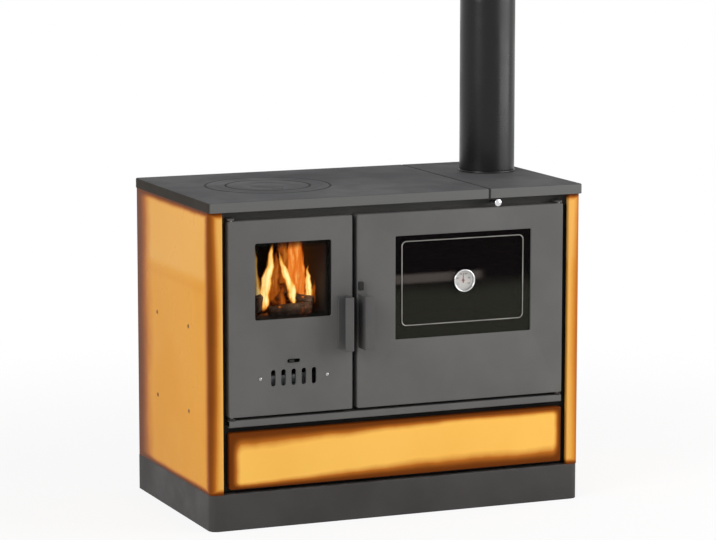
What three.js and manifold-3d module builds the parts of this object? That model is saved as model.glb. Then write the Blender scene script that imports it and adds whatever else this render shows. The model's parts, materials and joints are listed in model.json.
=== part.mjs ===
// Wood cookstove: enamelled casing on a plinth, cast cooking top with lift-out rings, firebox with a
// windowed door and an air slider, oven with a glazed door and thermometer, flue damper, storage drawer.
//
// Millimetres. +X is the stove's right as seen from the front, +Y is its back, +Z is up.
// The origin is on the floor, at the centre of the cooking top's footprint.

import * as THREE from 'three';
import { mergeVertices } from 'three/addons/utils/BufferGeometryUtils.js';
import Module from 'manifold-3d';

const wasm = await Module();
wasm.setup();

// ---------------------------------------------------------------- driving dimensions

// Overall
const WIDTH = 1050; // cooking top, left to right
const DEPTH = 580; // cooking top, front to back
const HOB_HEIGHT = 850; // floor to cooking surface

// Clearances
const SEAT = 0.3; // between pieces that touch
const RUN = 0.4; // radial, round a turning pin or a sliding rod
const EASE = 1; // round a piece that drops or slides into place

// Casing
const TOP_OVERHANG = 6; // cooking top beyond the casing, front and back
const SIDE_OVERHANG = 2;
const PLINTH_HEIGHT = 95;
const PLINTH_SHEET = 3;
const PLINTH_FLANGE = 30; // inward flange that the casing stands on
const PLINTH_CORNER = 22;
const PANEL_SHEET = 2;
const PANEL_CORNER = 18; // rounded front edge of a side panel
const STRIP_WIDTH = 36; // part of a side panel seen beside the doors
const STRIP_RETURN = 14;
const REAR_RETURN = 15;
const FOLD_RADIUS = 3;

// Back panel
const VENT_SLOT = { length: 110, height: 8, pitch: 150, rowPitch: 24, columns: 4, rows: 2, belowTop: 70 };
const REAR_OUTLET_RADIUS = 70;
const REAR_OUTLET_BELOW_TOP = 260;
const REAR_COVER_LAP = 14;
const REAR_COVER_THICKNESS = 1.8;

// Cooking top
const TOP_THICKNESS = 26; // height of its edge
const TOP_SKIN = 14; // thickness of the casting inside its edge
const TOP_RIM = 12;
const TOP_CORNER = 10;
const TOP_BEVEL = 2;
const FLUE_PLATE_WIDTH = 270; // right-hand casting that carries the flue
const SEAM_GAP = 1.5; // expansion gap between the two castings
const RING_RADIUS = 165;
const LID_RADIUS = 111;
const RING_THICKNESS = 7;
const RING_LEDGE = 12;
const RING_CENTRE_FROM_LEFT = 270;
const LIFTER_SLOT = { length: 34, width: 11, depth: 4, fromCentre: 70 };

// Flue
const FLUE_RADIUS = 75;
const FLUE_WALL = 2;
const FLUE_LENGTH = 500;
const FLUE_FROM_RIGHT = 110;
const FLUE_FROM_FRONT = 366;
const COLLAR_HEIGHT = 52;
const COLLAR_BORE = 67;
const COLLAR_FLANGE = 1.5; // beyond the pipe
const COLLAR_FLANGE_THICKNESS = 5;

// Doors
const DOOR_SIDE_GAP = 16.5; // side strip to door
const MEETING_GAP = 14; // between the two doors
const FIREBOX_DOOR_WIDTH = 339;
const DOOR_DEPTH = 31;
const DOOR_FACE = 5; // thickness of the door's front plate
const DOOR_RIM = 4;
const DOOR_CORNER = 4;
const DOOR_BEVEL = 1.5;
const DOOR_TO_FRAME = 4;
const LINER = 3;
const GLASS = 4;
const GLASS_LAP = 9; // glass beyond the edge of its window
const SEAL_WIDTH = 9;
const SEAL_LAP = 3; // seal outside the edge of its opening

// Heights of the front, from the plinth up
const DRAWER_GAP = 11; // plinth to drawer front
const DRAWER_HEIGHT = 148;
const GRIP_GAP = 14; // finger gap over the drawer front
const RAIL_HEIGHT = 18;
const RAIL_GAP = 8; // rail to doors
const DAMPER_GAP = 24; // doors to cooking top

// Hinges, handles and catches
const HINGE_INSET = 9; // pin axis from the door's edge and from its face
const PIN_RADIUS = 4;
const PIN_IN_DOOR = 22;
const LUG_THICKNESS = 5;
const LUG_HALF = 9;
const HANDLE_HEIGHT = 140;
const HANDLE_WIDTH = 25;
const HANDLE_REACH = 52;
const HANDLE_SHEET = 4;
const HANDLE_BEND = 6;
const HANDLE_FOOT_BEND = 5;
const HANDLE_TOP_BELOW_DOOR_TOP = 206;
const FIREBOX_HANDLE_FROM_EDGE = 15;
const LATCH_NOSE = { thickness: 4, height: 24, length: 14, fromEdge: 10 };
const LATCH_SLOT_EASE = 3;
const LATCH_FOOT = { width: 10, height: 50, thickness: 2 };
const CATCH_BLOCK = { width: 13, height: 22, depth: 8, aboveHandle: 10, corner: 2, bevel: 1 };

// Firebox door window and air inlet
const FIRE_WINDOW = { fromLeft: 71, fromRight: 58, fromTop: 60, height: 198, corner: 6 };
const AIR_SLOT = { count: 5, width: 13, height: 43, pitch: 28, aboveDoorBottom: 96 };
const SLIDER = { thickness: 2, height: 62, halfWidth: 112, corner: 4, screwSpread: 92, screwRadius: 2.5 };
const SLIDER_TRAVEL = AIR_SLOT.pitch / 2;
const TAB = { width: 12, height: 6, proud: 6, aboveSlots: 42 };
const TAB_SLOT = { width: 36, height: 10 };
const SCREW_HEAD = { radius: 4.5, height: 2, chamfer: 1 };
const SCREW_NUT_THICKNESS = 4;

// Oven door window and thermometer
const OVEN_WINDOW = { fromLeft: 107, fromRight: 93, fromTop: 62, height: 271, corner: 3 };
const BEAD = { left: 18, right: 20, top: 14, bottom: 33, width: 3, proud: 2, corner: 14 };
const THERMOMETER = { radius: 30, depth: 14, wall: 2, rim: 1, stemRadius: 4, stemLength: 26 };
const DIAL_THICKNESS = 1;
const LENS = { thickness: 1.5, belowRim: 2 };
const NEEDLE = { length: 19, tail: 7, width: 2.4, tip: 0.8, thickness: 1, hub: 3 };

// Front frame
const FRAME_THICKNESS = 8;
const MOUTH_LAP = 30; // doors beyond the openings behind them
const CROSSBAR = 20; // bar between the fire opening and the ash opening
const MOUTH_CORNER = { door: 10, ash: 6, drawer: 3, latch: 2 };

// Firebox
const SHELL = 4;
const FIREBOX_DEPTH = 440;
const FIREBOX_FLOOR_DROP = 24; // floor above the door's lower edge
const ASH_BAY_HEIGHT = 122;
const BRICK = 30;
const BRICK_CHAMFER = 10;
const BRICK_TOP_BELOW_DOOR_TOP = 30;
const GRATE = { thickness: 15, border: 14, bar: 11, slot: 9, corner: 3 };
const GRATE_LEDGE = 16;
const SMOKE_GAP_LENGTH = 300;
const ASH_PAN = { height: 70, sheet: 1.5, sideEase: 12, length: 380 };
const ASH_GRIP = { width: 80, reach: 12, foot: 22, lip: 10, sheet: 1.5, fold: 2 };

// Oven
const OVEN_BEYOND_WINDOW = 52; // oven wider than its window, on each side
const OVEN_HEIGHT = 345;
const OVEN_DEPTH = 430;
const OVEN_SHEET = 3;
const OVEN_BELOW_DOOR_TOP = 35;
const SHELF_RIB = { width: 14, height: 4 };
const RACK_LEVEL = 70; // top of the lower ribs above the oven floor
const TRAY_LEVEL = 216; // top of the upper ribs above the oven floor
const RACK = { rod: 4, bars: 10, rails: 3, depth: 360 };
const TRAY = { depth: 34, flange: 12, sheet: 2, length: 370, flare: 10, corner: 8 };
const SHELF_EASE = 3;
const SHELF_SETBACK = 12; // rack and tray behind the oven's mouth
const DUCT = 36; // smoke way beside the oven
const DUCT_REAR = 42;

// Damper
const ROD_RADIUS = 4;
const KNOB = { radius: 10, length: 18, edge: 3, rim: 8, shoulder: 12, neck: 5.5, proud: 8 };
const KNOB_FROM_RIGHT = 246;
const ROD_BELOW_TOP = 12; // rod axis under the cooking top's lower edge
const BAFFLE = 3;
const BYPASS = { length: 110, height: 34, sill: 10, corner: 4 };
const DAMPER_LAP = 6;
const DAMPER_THICKNESS = 4;
const DAMPER_PLAY = 0.7;

// Drawer
const DRAWER_FRONT_DEPTH = 22;
const DRAWER_FRONT_CORNER = 5;
const DRAWER_FRONT_SHEET = 2;
const DRAWER_SHEET = 1.5;
const DRAWER_SIDE_INSET = 30; // box inside the front's ends
const DRAWER_SILL = 6; // box above the front's lower edge
const DRAWER_BOX_HEIGHT = 120;
const DRAWER_LENGTH = 470;
const DRAWER_MOUTH_EASE = 5;
const RUNNER_SHEET = 2;
const RUNNER_RISE = 50;
const RUNNER_LAP = 18;

// Shield over the drawer
const SHIELD_SHEET = 2;
const SHIELD_ABOVE_DRAWER = 4;
const SHIELD_FLANGE = 12;

// ---------------------------------------------------------------- datum planes

const casingHalf = WIDTH / 2 - SIDE_OVERHANG;
const casingFront = -(DEPTH / 2 - TOP_OVERHANG);
const casingBack = -casingFront;
const topUnderside = HOB_HEIGHT - TOP_THICKNESS;
const skinUnderside = HOB_HEIGHT - TOP_SKIN;
const bodyBottom = PLINTH_HEIGHT + SEAT;
const bodyTop = topUnderside - SEAT;
const panelInner = casingHalf - PANEL_SHEET - SEAT; // what stands inside the side panels reaches here

const drawerBottom = PLINTH_HEIGHT + DRAWER_GAP;
const drawerTop = drawerBottom + DRAWER_HEIGHT;
const railBottom = drawerTop + GRIP_GAP;
const railTop = railBottom + RAIL_HEIGHT;
const doorBottom = railTop + RAIL_GAP;
const doorTop = topUnderside - DAMPER_GAP;

const doorSpan = casingHalf - STRIP_WIDTH - DOOR_SIDE_GAP; // half the width of the pair of doors
const doorBack = casingFront + DOOR_DEPTH;
const frameFront = doorBack + DOOR_TO_FRAME;
const frameBack = frameFront + FRAME_THICKNESS;
const behindFrame = frameBack + SEAT;

const fireDoor = { left: -doorSpan, right: -doorSpan + FIREBOX_DOOR_WIDTH };
const ovenDoor = { left: fireDoor.right + MEETING_GAP, right: doorSpan };
const hingeY = casingFront + HINGE_INSET;
const fireHingeX = fireDoor.left + HINGE_INSET;
const ovenHingeX = ovenDoor.right - HINGE_INSET;

const fireWindow = windowOf(fireDoor, FIRE_WINDOW);
const ovenWindow = windowOf(ovenDoor, OVEN_WINDOW);
const glassFront = casingFront + DOOR_FACE + SEAT;
const glassBack = glassFront + GLASS;

const airCentreX = (fireWindow.left + fireWindow.right) / 2;
const airCentreZ = doorBottom + AIR_SLOT.aboveDoorBottom;
const tabZ = airCentreZ + TAB.aboveSlots;

const fireMouth = { left: fireDoor.left + MOUTH_LAP, right: fireDoor.right - MOUTH_LAP };
const fireboxFloor = doorBottom + FIREBOX_FLOOR_DROP;
const ledgeTop = fireboxFloor + ASH_BAY_HEIGHT + SHELL;
const grateTop = ledgeTop + SEAT + GRATE.thickness;
const brickTop = doorTop - BRICK_TOP_BELOW_DOOR_TOP;
const shellInner = { left: fireMouth.left - SHELL, right: fireMouth.right + SHELL };
const shellBack = behindFrame + FIREBOX_DEPTH;
const hearth = { left: shellInner.left + SEAT + BRICK, right: shellInner.right - SEAT - BRICK };
const hearthBack = shellBack - SEAT - BRICK;

const oven = {
  left: ovenWindow.left - OVEN_BEYOND_WINDOW,
  right: ovenWindow.right + OVEN_BEYOND_WINDOW,
  top: doorTop - OVEN_BELOW_DOOR_TOP,
  bottom: doorTop - OVEN_BELOW_DOOR_TOP - OVEN_HEIGHT,
  back: behindFrame + OVEN_DEPTH,
};

const rodX = WIDTH / 2 - KNOB_FROM_RIGHT;
const rodZ = topUnderside - ROD_BELOW_TOP;
const flueX = WIDTH / 2 - FLUE_FROM_RIGHT;
const flueY = -DEPTH / 2 + FLUE_FROM_FRONT;
const ringX = -WIDTH / 2 + RING_CENTRE_FROM_LEFT;
const seamX = WIDTH / 2 - FLUE_PLATE_WIDTH;

const drawerBox = {
  half: doorSpan - DRAWER_SIDE_INSET,
  bottom: drawerBottom + DRAWER_SILL,
  front: casingFront + DRAWER_FRONT_SHEET + SEAT,
};
drawerBox.top = drawerBox.bottom + DRAWER_BOX_HEIGHT;
drawerBox.back = drawerBox.front + DRAWER_LENGTH;
const shieldBottom = drawerTop + SHIELD_ABOVE_DRAWER;
const backPanelFront = casingBack - PANEL_SHEET - SEAT - PANEL_SHEET;

/** The window of a door: its left, right, top and bottom edges. */
function windowOf(door, size) {
  const left = door.left + size.fromLeft;
  const top = doorTop - size.fromTop;
  return { left, right: door.right - size.fromRight, top, bottom: top - size.height, corner: size.corner };
}

// ---------------------------------------------------------------- materials

const material = (color, roughness, metalness, extra = {}) =>
  new THREE.MeshStandardMaterial({ color, roughness, metalness, ...extra });

const MATERIALS = {
  enamel: material(0xe8a24a, 0.25, 0.05),
  paint: material(0x62605e, 0.6, 0.3),
  plinth: material(0x3c3a38, 0.55, 0.3),
  black: material(0x1b1b1c, 0.7, 0.3),
  cast: material(0x5a5a5c, 0.65, 0.5),
  steel: material(0x8a8a88, 0.45, 0.8),
  flue: material(0x454546, 0.6, 0.4),
  ovenEnamel: material(0x2b2c2f, 0.35, 0.1),
  chrome: material(0xd8d8d8, 0.12, 1),
  glass: material(0x14130f, 0.08, 0, { transparent: true, opacity: 0.4 }),
  rope: material(0xb9b4a6, 0.95, 0),
  brick: material(0xb9a083, 0.95, 0),
  dial: material(0xeeeeea, 0.5, 0),
  needle: material(0x8c1a14, 0.5, 0.1),
};

// ---------------------------------------------------------------- shapes and solids

const BIG_CIRCLE_STEPS = 48;
const MEDIUM_CIRCLE_STEPS = 32;
const CIRCLE_STEPS = 24;
const SMALL_CIRCLE_STEPS = 16;
const SCREW_STEPS = 10;
const ROD_STEPS = 6;
const CORNER_STEPS = 2; // twice this many edges to a quarter turn
const FOLD_STEPS = 4;
const PLINTH_STEPS = 4;
const OVERCUT = 1; // how far a cut runs past the face it opens
const SLIVER = 0.1; // flat left between the two arcs of a round end
const ARC_MIDDLE = 1 - Math.SQRT1_2; // inset of a quarter circle's middle, per radius

/** A closed Shape through corners. */
function outlineOf(corners) {
  return new THREE.Shape(corners.map(([x, y]) => new THREE.Vector2(x, y)));
}

/** A rectangle as a closed Shape. */
function rectangle(x0, x1, y0, y1) {
  return outlineOf([[x0, y0], [x1, y0], [x1, y1], [x0, y1]]);
}

/** A rectangle with rounded corners, as a closed Shape. */
function roundedRect(x0, x1, y0, y1, r) {
  const shape = new THREE.Shape();
  shape.absarc(x1 - r, y0 + r, r, -Math.PI / 2, 0);
  shape.absarc(x1 - r, y1 - r, r, 0, Math.PI / 2);
  shape.absarc(x0 + r, y1 - r, r, Math.PI / 2, Math.PI);
  shape.absarc(x0 + r, y0 + r, r, Math.PI, 1.5 * Math.PI);
  shape.closePath();
  return shape;
}

/** A slot: a rectangle whose shorter sides are round. */
function roundEnded(x0, x1, y0, y1) {
  return roundedRect(x0, x1, y0, y1, Math.min(x1 - x0, y1 - y0) / 2 - SLIVER);
}

/** A rectangle whose two front corners (low y) are rounded and whose rear ones are square. */
function frontRoundedRect(x0, x1, y0, y1, r) {
  const shape = new THREE.Shape();
  shape.moveTo(x1, y1);
  shape.lineTo(x0, y1);
  shape.absarc(x0 + r, y0 + r, r, Math.PI, 1.5 * Math.PI);
  shape.absarc(x1 - r, y0 + r, r, -Math.PI / 2, 0);
  shape.closePath();
  return shape;
}

/** Extrudes a shape drawn in X and Y, from z0 up to z1. A bevel eats into the outline. */
function slab(shape, z0, z1, bevel = 0, steps = CORNER_STEPS) {
  const geometry = new THREE.ExtrudeGeometry(shape, {
    depth: z1 - z0 - 2 * bevel,
    bevelEnabled: bevel > 0,
    bevelThickness: bevel,
    bevelSize: bevel,
    bevelOffset: -bevel,
    bevelSegments: 1,
    curveSegments: steps,
  });
  return geometry.translate(0, 0, z0 + bevel);
}

/** Extrudes a shape drawn in X and Z, from y0 back to y1. */
function panel(shape, y0, y1, bevel = 0, steps = CORNER_STEPS) {
  return slab(shape, -y1, -y0, bevel, steps).rotateX(Math.PI / 2);
}

/** Extrudes a shape drawn in Y and Z, from x0 right to x1. */
function wall(shape, x0, x1, steps = CORNER_STEPS) {
  const turn = new THREE.Matrix4().makeBasis(
    new THREE.Vector3(0, 1, 0), new THREE.Vector3(0, 0, 1), new THREE.Vector3(1, 0, 0));
  return slab(shape, x0, x1, 0, steps).applyMatrix4(turn);
}

/** A box from its low corner to its high corner. */
function block(x0, x1, y0, y1, z0, z1) {
  const geometry = new THREE.BoxGeometry(x1 - x0, y1 - y0, z1 - z0);
  return geometry.translate((x0 + x1) / 2, (y0 + y1) / 2, (z0 + z1) / 2);
}

/** A cylinder along Z, from z0 up to z1. */
function roundZ(x, y, radius, z0, z1, steps = CIRCLE_STEPS) {
  const geometry = new THREE.CylinderGeometry(radius, radius, z1 - z0, steps);
  return geometry.rotateX(Math.PI / 2).translate(x, y, (z0 + z1) / 2);
}

/** A cylinder along Y, from y0 back to y1. */
function roundY(x, z, radius, y0, y1, steps = CIRCLE_STEPS) {
  const geometry = new THREE.CylinderGeometry(radius, radius, y1 - y0, steps);
  return geometry.translate(x, (y0 + y1) / 2, z);
}

/** A cylinder along X, from x0 right to x1. */
function roundX(y, z, radius, x0, x1, steps = CIRCLE_STEPS) {
  const geometry = new THREE.CylinderGeometry(radius, radius, x1 - x0, steps);
  return geometry.rotateZ(-Math.PI / 2).translate((x0 + x1) / 2, y, z);
}

/** Revolves a profile of [radius, height] pairs about a vertical axis at x, y. */
function turnedZ(profile, x, y, steps = CIRCLE_STEPS) {
  const points = profile.map(([r, z]) => new THREE.Vector2(r, z));
  return new THREE.LatheGeometry(points, steps).rotateX(Math.PI / 2).translate(x, y, 0);
}

/** Revolves a profile of [radius, y] pairs about a front-to-back axis at x, z. */
function turnedY(profile, x, z, steps = CIRCLE_STEPS) {
  const points = profile.map(([r, y]) => new THREE.Vector2(r, y));
  return new THREE.LatheGeometry(points, steps).translate(x, 0, z);
}

/** The closed manifold of a geometry, ready for a cut or a join. */
function solid(geometry) {
  const bare = geometry.clone();
  bare.deleteAttribute('normal');
  bare.deleteAttribute('uv');
  const merged = mergeVertices(bare, 1e-4);
  return new wasm.Manifold(new wasm.Mesh({
    numProp: 3,
    vertProperties: Float32Array.from(merged.attributes.position.array),
    triVerts: Uint32Array.from(merged.index.array),
  }));
}

/** The geometry of a cut or joined solid. */
function geometryOf(manifold) {
  const mesh = manifold.getMesh();
  const geometry = new THREE.BufferGeometry();
  geometry.setAttribute('position', new THREE.BufferAttribute(mesh.vertProperties, 3));
  geometry.setIndex(new THREE.BufferAttribute(mesh.triVerts, 1));
  geometry.computeVertexNormals();
  return geometry;
}

/** One geometry with others joined to it and then others cut from it. */
function shaped(base, { join = [], cut = [] } = {}) {
  let body = solid(base);
  for (const piece of join) body = body.add(solid(piece));
  for (const piece of cut) body = body.subtract(solid(piece));
  return geometryOf(body);
}

/** The same open outline, set over to its left by a distance. */
function offsetLine(points, distance) {
  const sides = points.slice(1).map((p, i) => {
    const along = p.clone().sub(points[i]).normalize();
    return new THREE.Vector2(-along.y, along.x);
  });
  return points.map((p, i) => {
    const before = sides[Math.max(i - 1, 0)];
    const after = sides[Math.min(i, sides.length - 1)];
    const mitre = before.clone().add(after).normalize();
    return p.clone().addScaledVector(mitre, distance / mitre.dot(before));
  });
}

/** An open line through corners, each corner rounded by its radius. */
function roundedLine(corners, radii, steps = FOLD_STEPS) {
  return corners.flatMap((corner, i) => {
    if (i === 0 || i === corners.length - 1) return [corner];
    const back = corners[i - 1].clone().sub(corner).normalize();
    const ahead = corners[i + 1].clone().sub(corner).normalize();
    const half = Math.acos(back.dot(ahead)) / 2;
    const middle = back.clone().add(ahead).normalize();
    const centre = corner.clone().addScaledVector(middle, radii[i - 1] / Math.sin(half));
    const start = back.clone().multiplyScalar(radii[i - 1] / Math.tan(half)).add(corner).sub(centre);
    const end = ahead.clone().multiplyScalar(radii[i - 1] / Math.tan(half)).add(corner).sub(centre);
    const sweep = Math.atan2(start.cross(end), start.dot(end));
    return Array.from({ length: steps + 1 }, (_, k) =>
      start.clone().rotateAround(new THREE.Vector2(), sweep * k / steps).add(centre));
  });
}

/** The section of a folded sheet, from the corners of its outside; side is +1 for a sheet to the left. */
function foldedSheet(corners, radii, thickness, side) {
  const outer = roundedLine(corners.map(([x, y]) => new THREE.Vector2(x, y)), radii);
  const inner = offsetLine(outer, side * thickness);
  return new THREE.Shape([...outer, ...inner.reverse()]);
}

const stove = new THREE.Group();
stove.name = 'wood_cookstove';

/** Adds one named piece to a group. */
function addPiece(group, name, geometry, finish) {
  const mesh = new THREE.Mesh(geometry, finish);
  mesh.name = name;
  group.add(mesh);
}

// ---------------------------------------------------------------- casing

/** Outline of the plinth, inset all round. */
function plinthOutline(inset) {
  return frontRoundedRect(
    -casingHalf + inset, casingHalf - inset, casingFront + inset, casingBack - inset,
    Math.max(PLINTH_CORNER - inset, FOLD_RADIUS));
}

/** Plinth: a folded rim with rounded front corners and a flange that carries the casing. */
function plinth() {
  return shaped(slab(plinthOutline(0), 0, PLINTH_HEIGHT, 0, PLINTH_STEPS), { cut: [
    slab(plinthOutline(PLINTH_SHEET), -OVERCUT, PLINTH_HEIGHT - PLINTH_SHEET),
    slab(plinthOutline(PLINTH_FLANGE), PLINTH_HEIGHT / 2, PLINTH_HEIGHT + OVERCUT),
  ] });
}

/** Floor of the plinth: a sheet let in between its walls. */
function plinthFloor() {
  return shaped(slab(plinthOutline(PLINTH_SHEET + EASE), 0, PLINTH_SHEET));
}

/** Side panel: one enamelled sheet folded round the front edge; side is -1 for the left one. */
function sidePanel(side) {
  const strip = casingHalf - STRIP_WIDTH;
  const corners = [
    [casingHalf - REAR_RETURN, casingBack],
    [casingHalf, casingBack],
    [casingHalf, casingFront],
    [strip, casingFront],
    [strip, casingFront + STRIP_RETURN],
  ].map(([x, y]) => [side * x, y]);
  const section = foldedSheet(corners, [FOLD_RADIUS, PANEL_CORNER, FOLD_RADIUS], PANEL_SHEET, -side);
  return slab(section, bodyBottom, bodyTop);
}

/** Back panel: a sheet with rows of cooling slots and the hole of the rear flue outlet. */
function backPanel() {
  const half = panelInner - EASE;
  const sheet = rectangle(-half, half, bodyBottom, bodyTop);
  for (let row = 0; row < VENT_SLOT.rows; row += 1) {
    for (let column = 0; column < VENT_SLOT.columns; column += 1) {
      const x = (column - (VENT_SLOT.columns - 1) / 2) * VENT_SLOT.pitch;
      const z = bodyTop - VENT_SLOT.belowTop - row * VENT_SLOT.rowPitch;
      sheet.holes.push(roundEnded(x - VENT_SLOT.length / 2, x + VENT_SLOT.length / 2,
        z - VENT_SLOT.height / 2, z + VENT_SLOT.height / 2));
    }
  }
  const back = backPanelFront + PANEL_SHEET;
  const outlet = roundY(flueX, bodyTop - REAR_OUTLET_BELOW_TOP, REAR_OUTLET_RADIUS,
    backPanelFront - OVERCUT, back + OVERCUT, MEDIUM_CIRCLE_STEPS);
  return shaped(panel(sheet, backPanelFront, back), { cut: [outlet] });
}

/** Cover of the rear flue outlet: a disc with a raised boss that plugs the hole. */
function rearFlueCover() {
  const y = backPanelFront + PANEL_SHEET + SEAT;
  return turnedY([
    [0, y - SEAT - PANEL_SHEET],
    [REAR_OUTLET_RADIUS - EASE, y - SEAT - PANEL_SHEET],
    [REAR_OUTLET_RADIUS - EASE, y],
    [REAR_OUTLET_RADIUS + REAR_COVER_LAP, y],
    [REAR_OUTLET_RADIUS + REAR_COVER_LAP, y + REAR_COVER_THICKNESS],
    [0, y + REAR_COVER_THICKNESS],
  ], flueX, bodyTop - REAR_OUTLET_BELOW_TOP, MEDIUM_CIRCLE_STEPS);
}

/** The axis height range of a hinge lug over (+1) or under (-1) a door. */
function lugRange(end) {
  const near = end > 0 ? doorTop + RAIL_GAP / 4 : doorBottom - RAIL_GAP / 4;
  return end > 0 ? [near, near + LUG_THICKNESS] : [near - LUG_THICKNESS, near];
}

/** Front frame: the plate that the doors close on, with its openings and four hinge lugs. */
function frontFrame() {
  const plate = rectangle(-panelInner, panelInner, bodyBottom, bodyTop);
  const mouth = (x0, x1, z0, z1, r) => plate.holes.push(roundedRect(x0, x1, z0, z1, r));
  mouth(fireMouth.left, fireMouth.right, fireboxFloor, ledgeTop - CROSSBAR / 2, MOUTH_CORNER.ash);
  mouth(fireMouth.left, fireMouth.right, ledgeTop + CROSSBAR / 2, brickTop, MOUTH_CORNER.door);
  mouth(oven.left, oven.right, oven.bottom, oven.top, MOUTH_CORNER.door);
  const drawerHalf = drawerBox.half + DRAWER_MOUTH_EASE;
  mouth(-drawerHalf, drawerHalf, drawerBox.bottom - DRAWER_MOUTH_EASE,
    drawerBox.top + DRAWER_MOUTH_EASE, MOUTH_CORNER.drawer);
  const latchHalfWidth = LATCH_NOSE.thickness / 2 + LATCH_SLOT_EASE;
  const latchHalfHeight = LATCH_NOSE.height / 2 + LATCH_SLOT_EASE;
  for (const { x, z } of [fireLatch, ovenLatch]) {
    mouth(x - latchHalfWidth, x + latchHalfWidth,
      z - latchHalfHeight, z + latchHalfHeight, MOUTH_CORNER.latch);
  }
  const lugs = [];
  const holes = [roundY(rodX, rodZ, ROD_RADIUS + RUN, frameFront - OVERCUT, frameBack + OVERCUT)];
  for (const x of [fireHingeX, ovenHingeX]) {
    for (const end of [-1, 1]) {
      const [z0, z1] = lugRange(end);
      lugs.push(block(x - LUG_HALF, x + LUG_HALF, hingeY, frameFront + OVERCUT, z0, z1));
      lugs.push(roundZ(x, hingeY, LUG_HALF, z0, z1));
      holes.push(roundZ(x, hingeY, PIN_RADIUS + SEAT, z0 - OVERCUT, z1 + OVERCUT, SMALL_CIRCLE_STEPS));
    }
  }
  return shaped(panel(plate, frameFront, frameBack), { join: lugs, cut: holes });
}

/** Rail between the doors and the drawer: a folded channel fixed to the front frame. */
function midRail() {
  const front = casingFront + DOOR_BEVEL;
  const back = frameFront - SEAT;
  const section = foldedSheet(
    [[back, railTop], [front, railTop], [front, railBottom], [back, railBottom]],
    [FOLD_RADIUS, FOLD_RADIUS], PANEL_SHEET, 1);
  return wall(section, -doorSpan, doorSpan);
}

/** Heat shield over the drawer: a sheet with its sides folded up. */
function heatShield() {
  const section = foldedSheet(
    [[-panelInner, shieldBottom + SHIELD_FLANGE], [-panelInner, shieldBottom],
      [panelInner, shieldBottom], [panelInner, shieldBottom + SHIELD_FLANGE]],
    [FOLD_RADIUS, FOLD_RADIUS], SHIELD_SHEET, 1);
  return panel(section, behindFrame, backPanelFront - SEAT);
}

// ---------------------------------------------------------------- cooking top and flue

/** One casting of the cooking top between x0 and x1: a skin with a deeper edge all round. */
function topCasting(x0, x1, join, cut) {
  const half = DEPTH / 2;
  const outline = roundedRect(x0, x1, -half, half, TOP_CORNER);
  const pocket = block(x0 + TOP_RIM, x1 - TOP_RIM, -half + TOP_RIM, half - TOP_RIM,
    topUnderside - OVERCUT, skinUnderside);
  return shaped(slab(outline, topUnderside, HOB_HEIGHT, TOP_BEVEL), { join, cut: [pocket, ...cut] });
}

/** Left casting, with the stepped hole that the ring lies in. */
function cookingPlate() {
  const ledge = HOB_HEIGHT - RING_THICKNESS - SEAT;
  return topCasting(-WIDTH / 2, seamX - SEAM_GAP, [], [
    roundZ(ringX, 0, RING_RADIUS + EASE, ledge, HOB_HEIGHT + OVERCUT, BIG_CIRCLE_STEPS),
    roundZ(ringX, 0, RING_RADIUS - RING_LEDGE, topUnderside, HOB_HEIGHT, BIG_CIRCLE_STEPS),
  ]);
}

/** Right casting, with the hole under the flue. */
function fluePlate() {
  return topCasting(seamX, WIDTH / 2, [], [
    roundZ(flueX, flueY, COLLAR_BORE, topUnderside, HOB_HEIGHT + OVERCUT, BIG_CIRCLE_STEPS),
  ]);
}

/** Hob ring: lies in the left casting and carries the lid on a step of its own. */
function hobRing() {
  const step = HOB_HEIGHT - RING_THICKNESS;
  const bottom = skinUnderside;
  const hub = LID_RADIUS - RING_LEDGE;
  return turnedZ([
    [LID_RADIUS + EASE, HOB_HEIGHT],
    [LID_RADIUS + EASE, step - SEAT],
    [hub, step - SEAT],
    [hub, bottom],
    [RING_RADIUS - RING_LEDGE - EASE, bottom],
    [RING_RADIUS - RING_LEDGE - EASE, step],
    [RING_RADIUS, step],
    [RING_RADIUS, HOB_HEIGHT],
    [LID_RADIUS + EASE, HOB_HEIGHT],
  ], ringX, 0, BIG_CIRCLE_STEPS);
}

/** Hob lid: the middle disc, with the recess and bar that the lifter hooks under. */
function hobLid() {
  const step = HOB_HEIGHT - RING_THICKNESS;
  const disc = turnedZ([
    [0, skinUnderside],
    [LID_RADIUS - RING_LEDGE - EASE, skinUnderside],
    [LID_RADIUS - RING_LEDGE - EASE, step],
    [LID_RADIUS, step],
    [LID_RADIUS, HOB_HEIGHT],
    [0, HOB_HEIGHT],
  ], ringX, 0, BIG_CIRCLE_STEPS);
  const y = -LIFTER_SLOT.fromCentre;
  const slot = slab(roundEnded(ringX - LIFTER_SLOT.length / 2, ringX + LIFTER_SLOT.length / 2,
    y - LIFTER_SLOT.width / 2, y + LIFTER_SLOT.width / 2),
  HOB_HEIGHT - LIFTER_SLOT.depth, HOB_HEIGHT + OVERCUT);
  return shaped(disc, { cut: [slot] });
}

/** Flue collar: a spigot inside the pipe, with a low flange that the pipe stands on. */
function flueCollar() {
  const foot = HOB_HEIGHT + SEAT;
  const flangeTop = foot + COLLAR_FLANGE_THICKNESS;
  const spigot = FLUE_RADIUS - FLUE_WALL - SEAT;
  return turnedZ([
    [COLLAR_BORE, foot],
    [FLUE_RADIUS + COLLAR_FLANGE, foot],
    [FLUE_RADIUS + COLLAR_FLANGE, flangeTop],
    [spigot, flangeTop],
    [spigot, foot + COLLAR_HEIGHT],
    [COLLAR_BORE, foot + COLLAR_HEIGHT],
    [COLLAR_BORE, foot],
  ], flueX, flueY, BIG_CIRCLE_STEPS);
}

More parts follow.
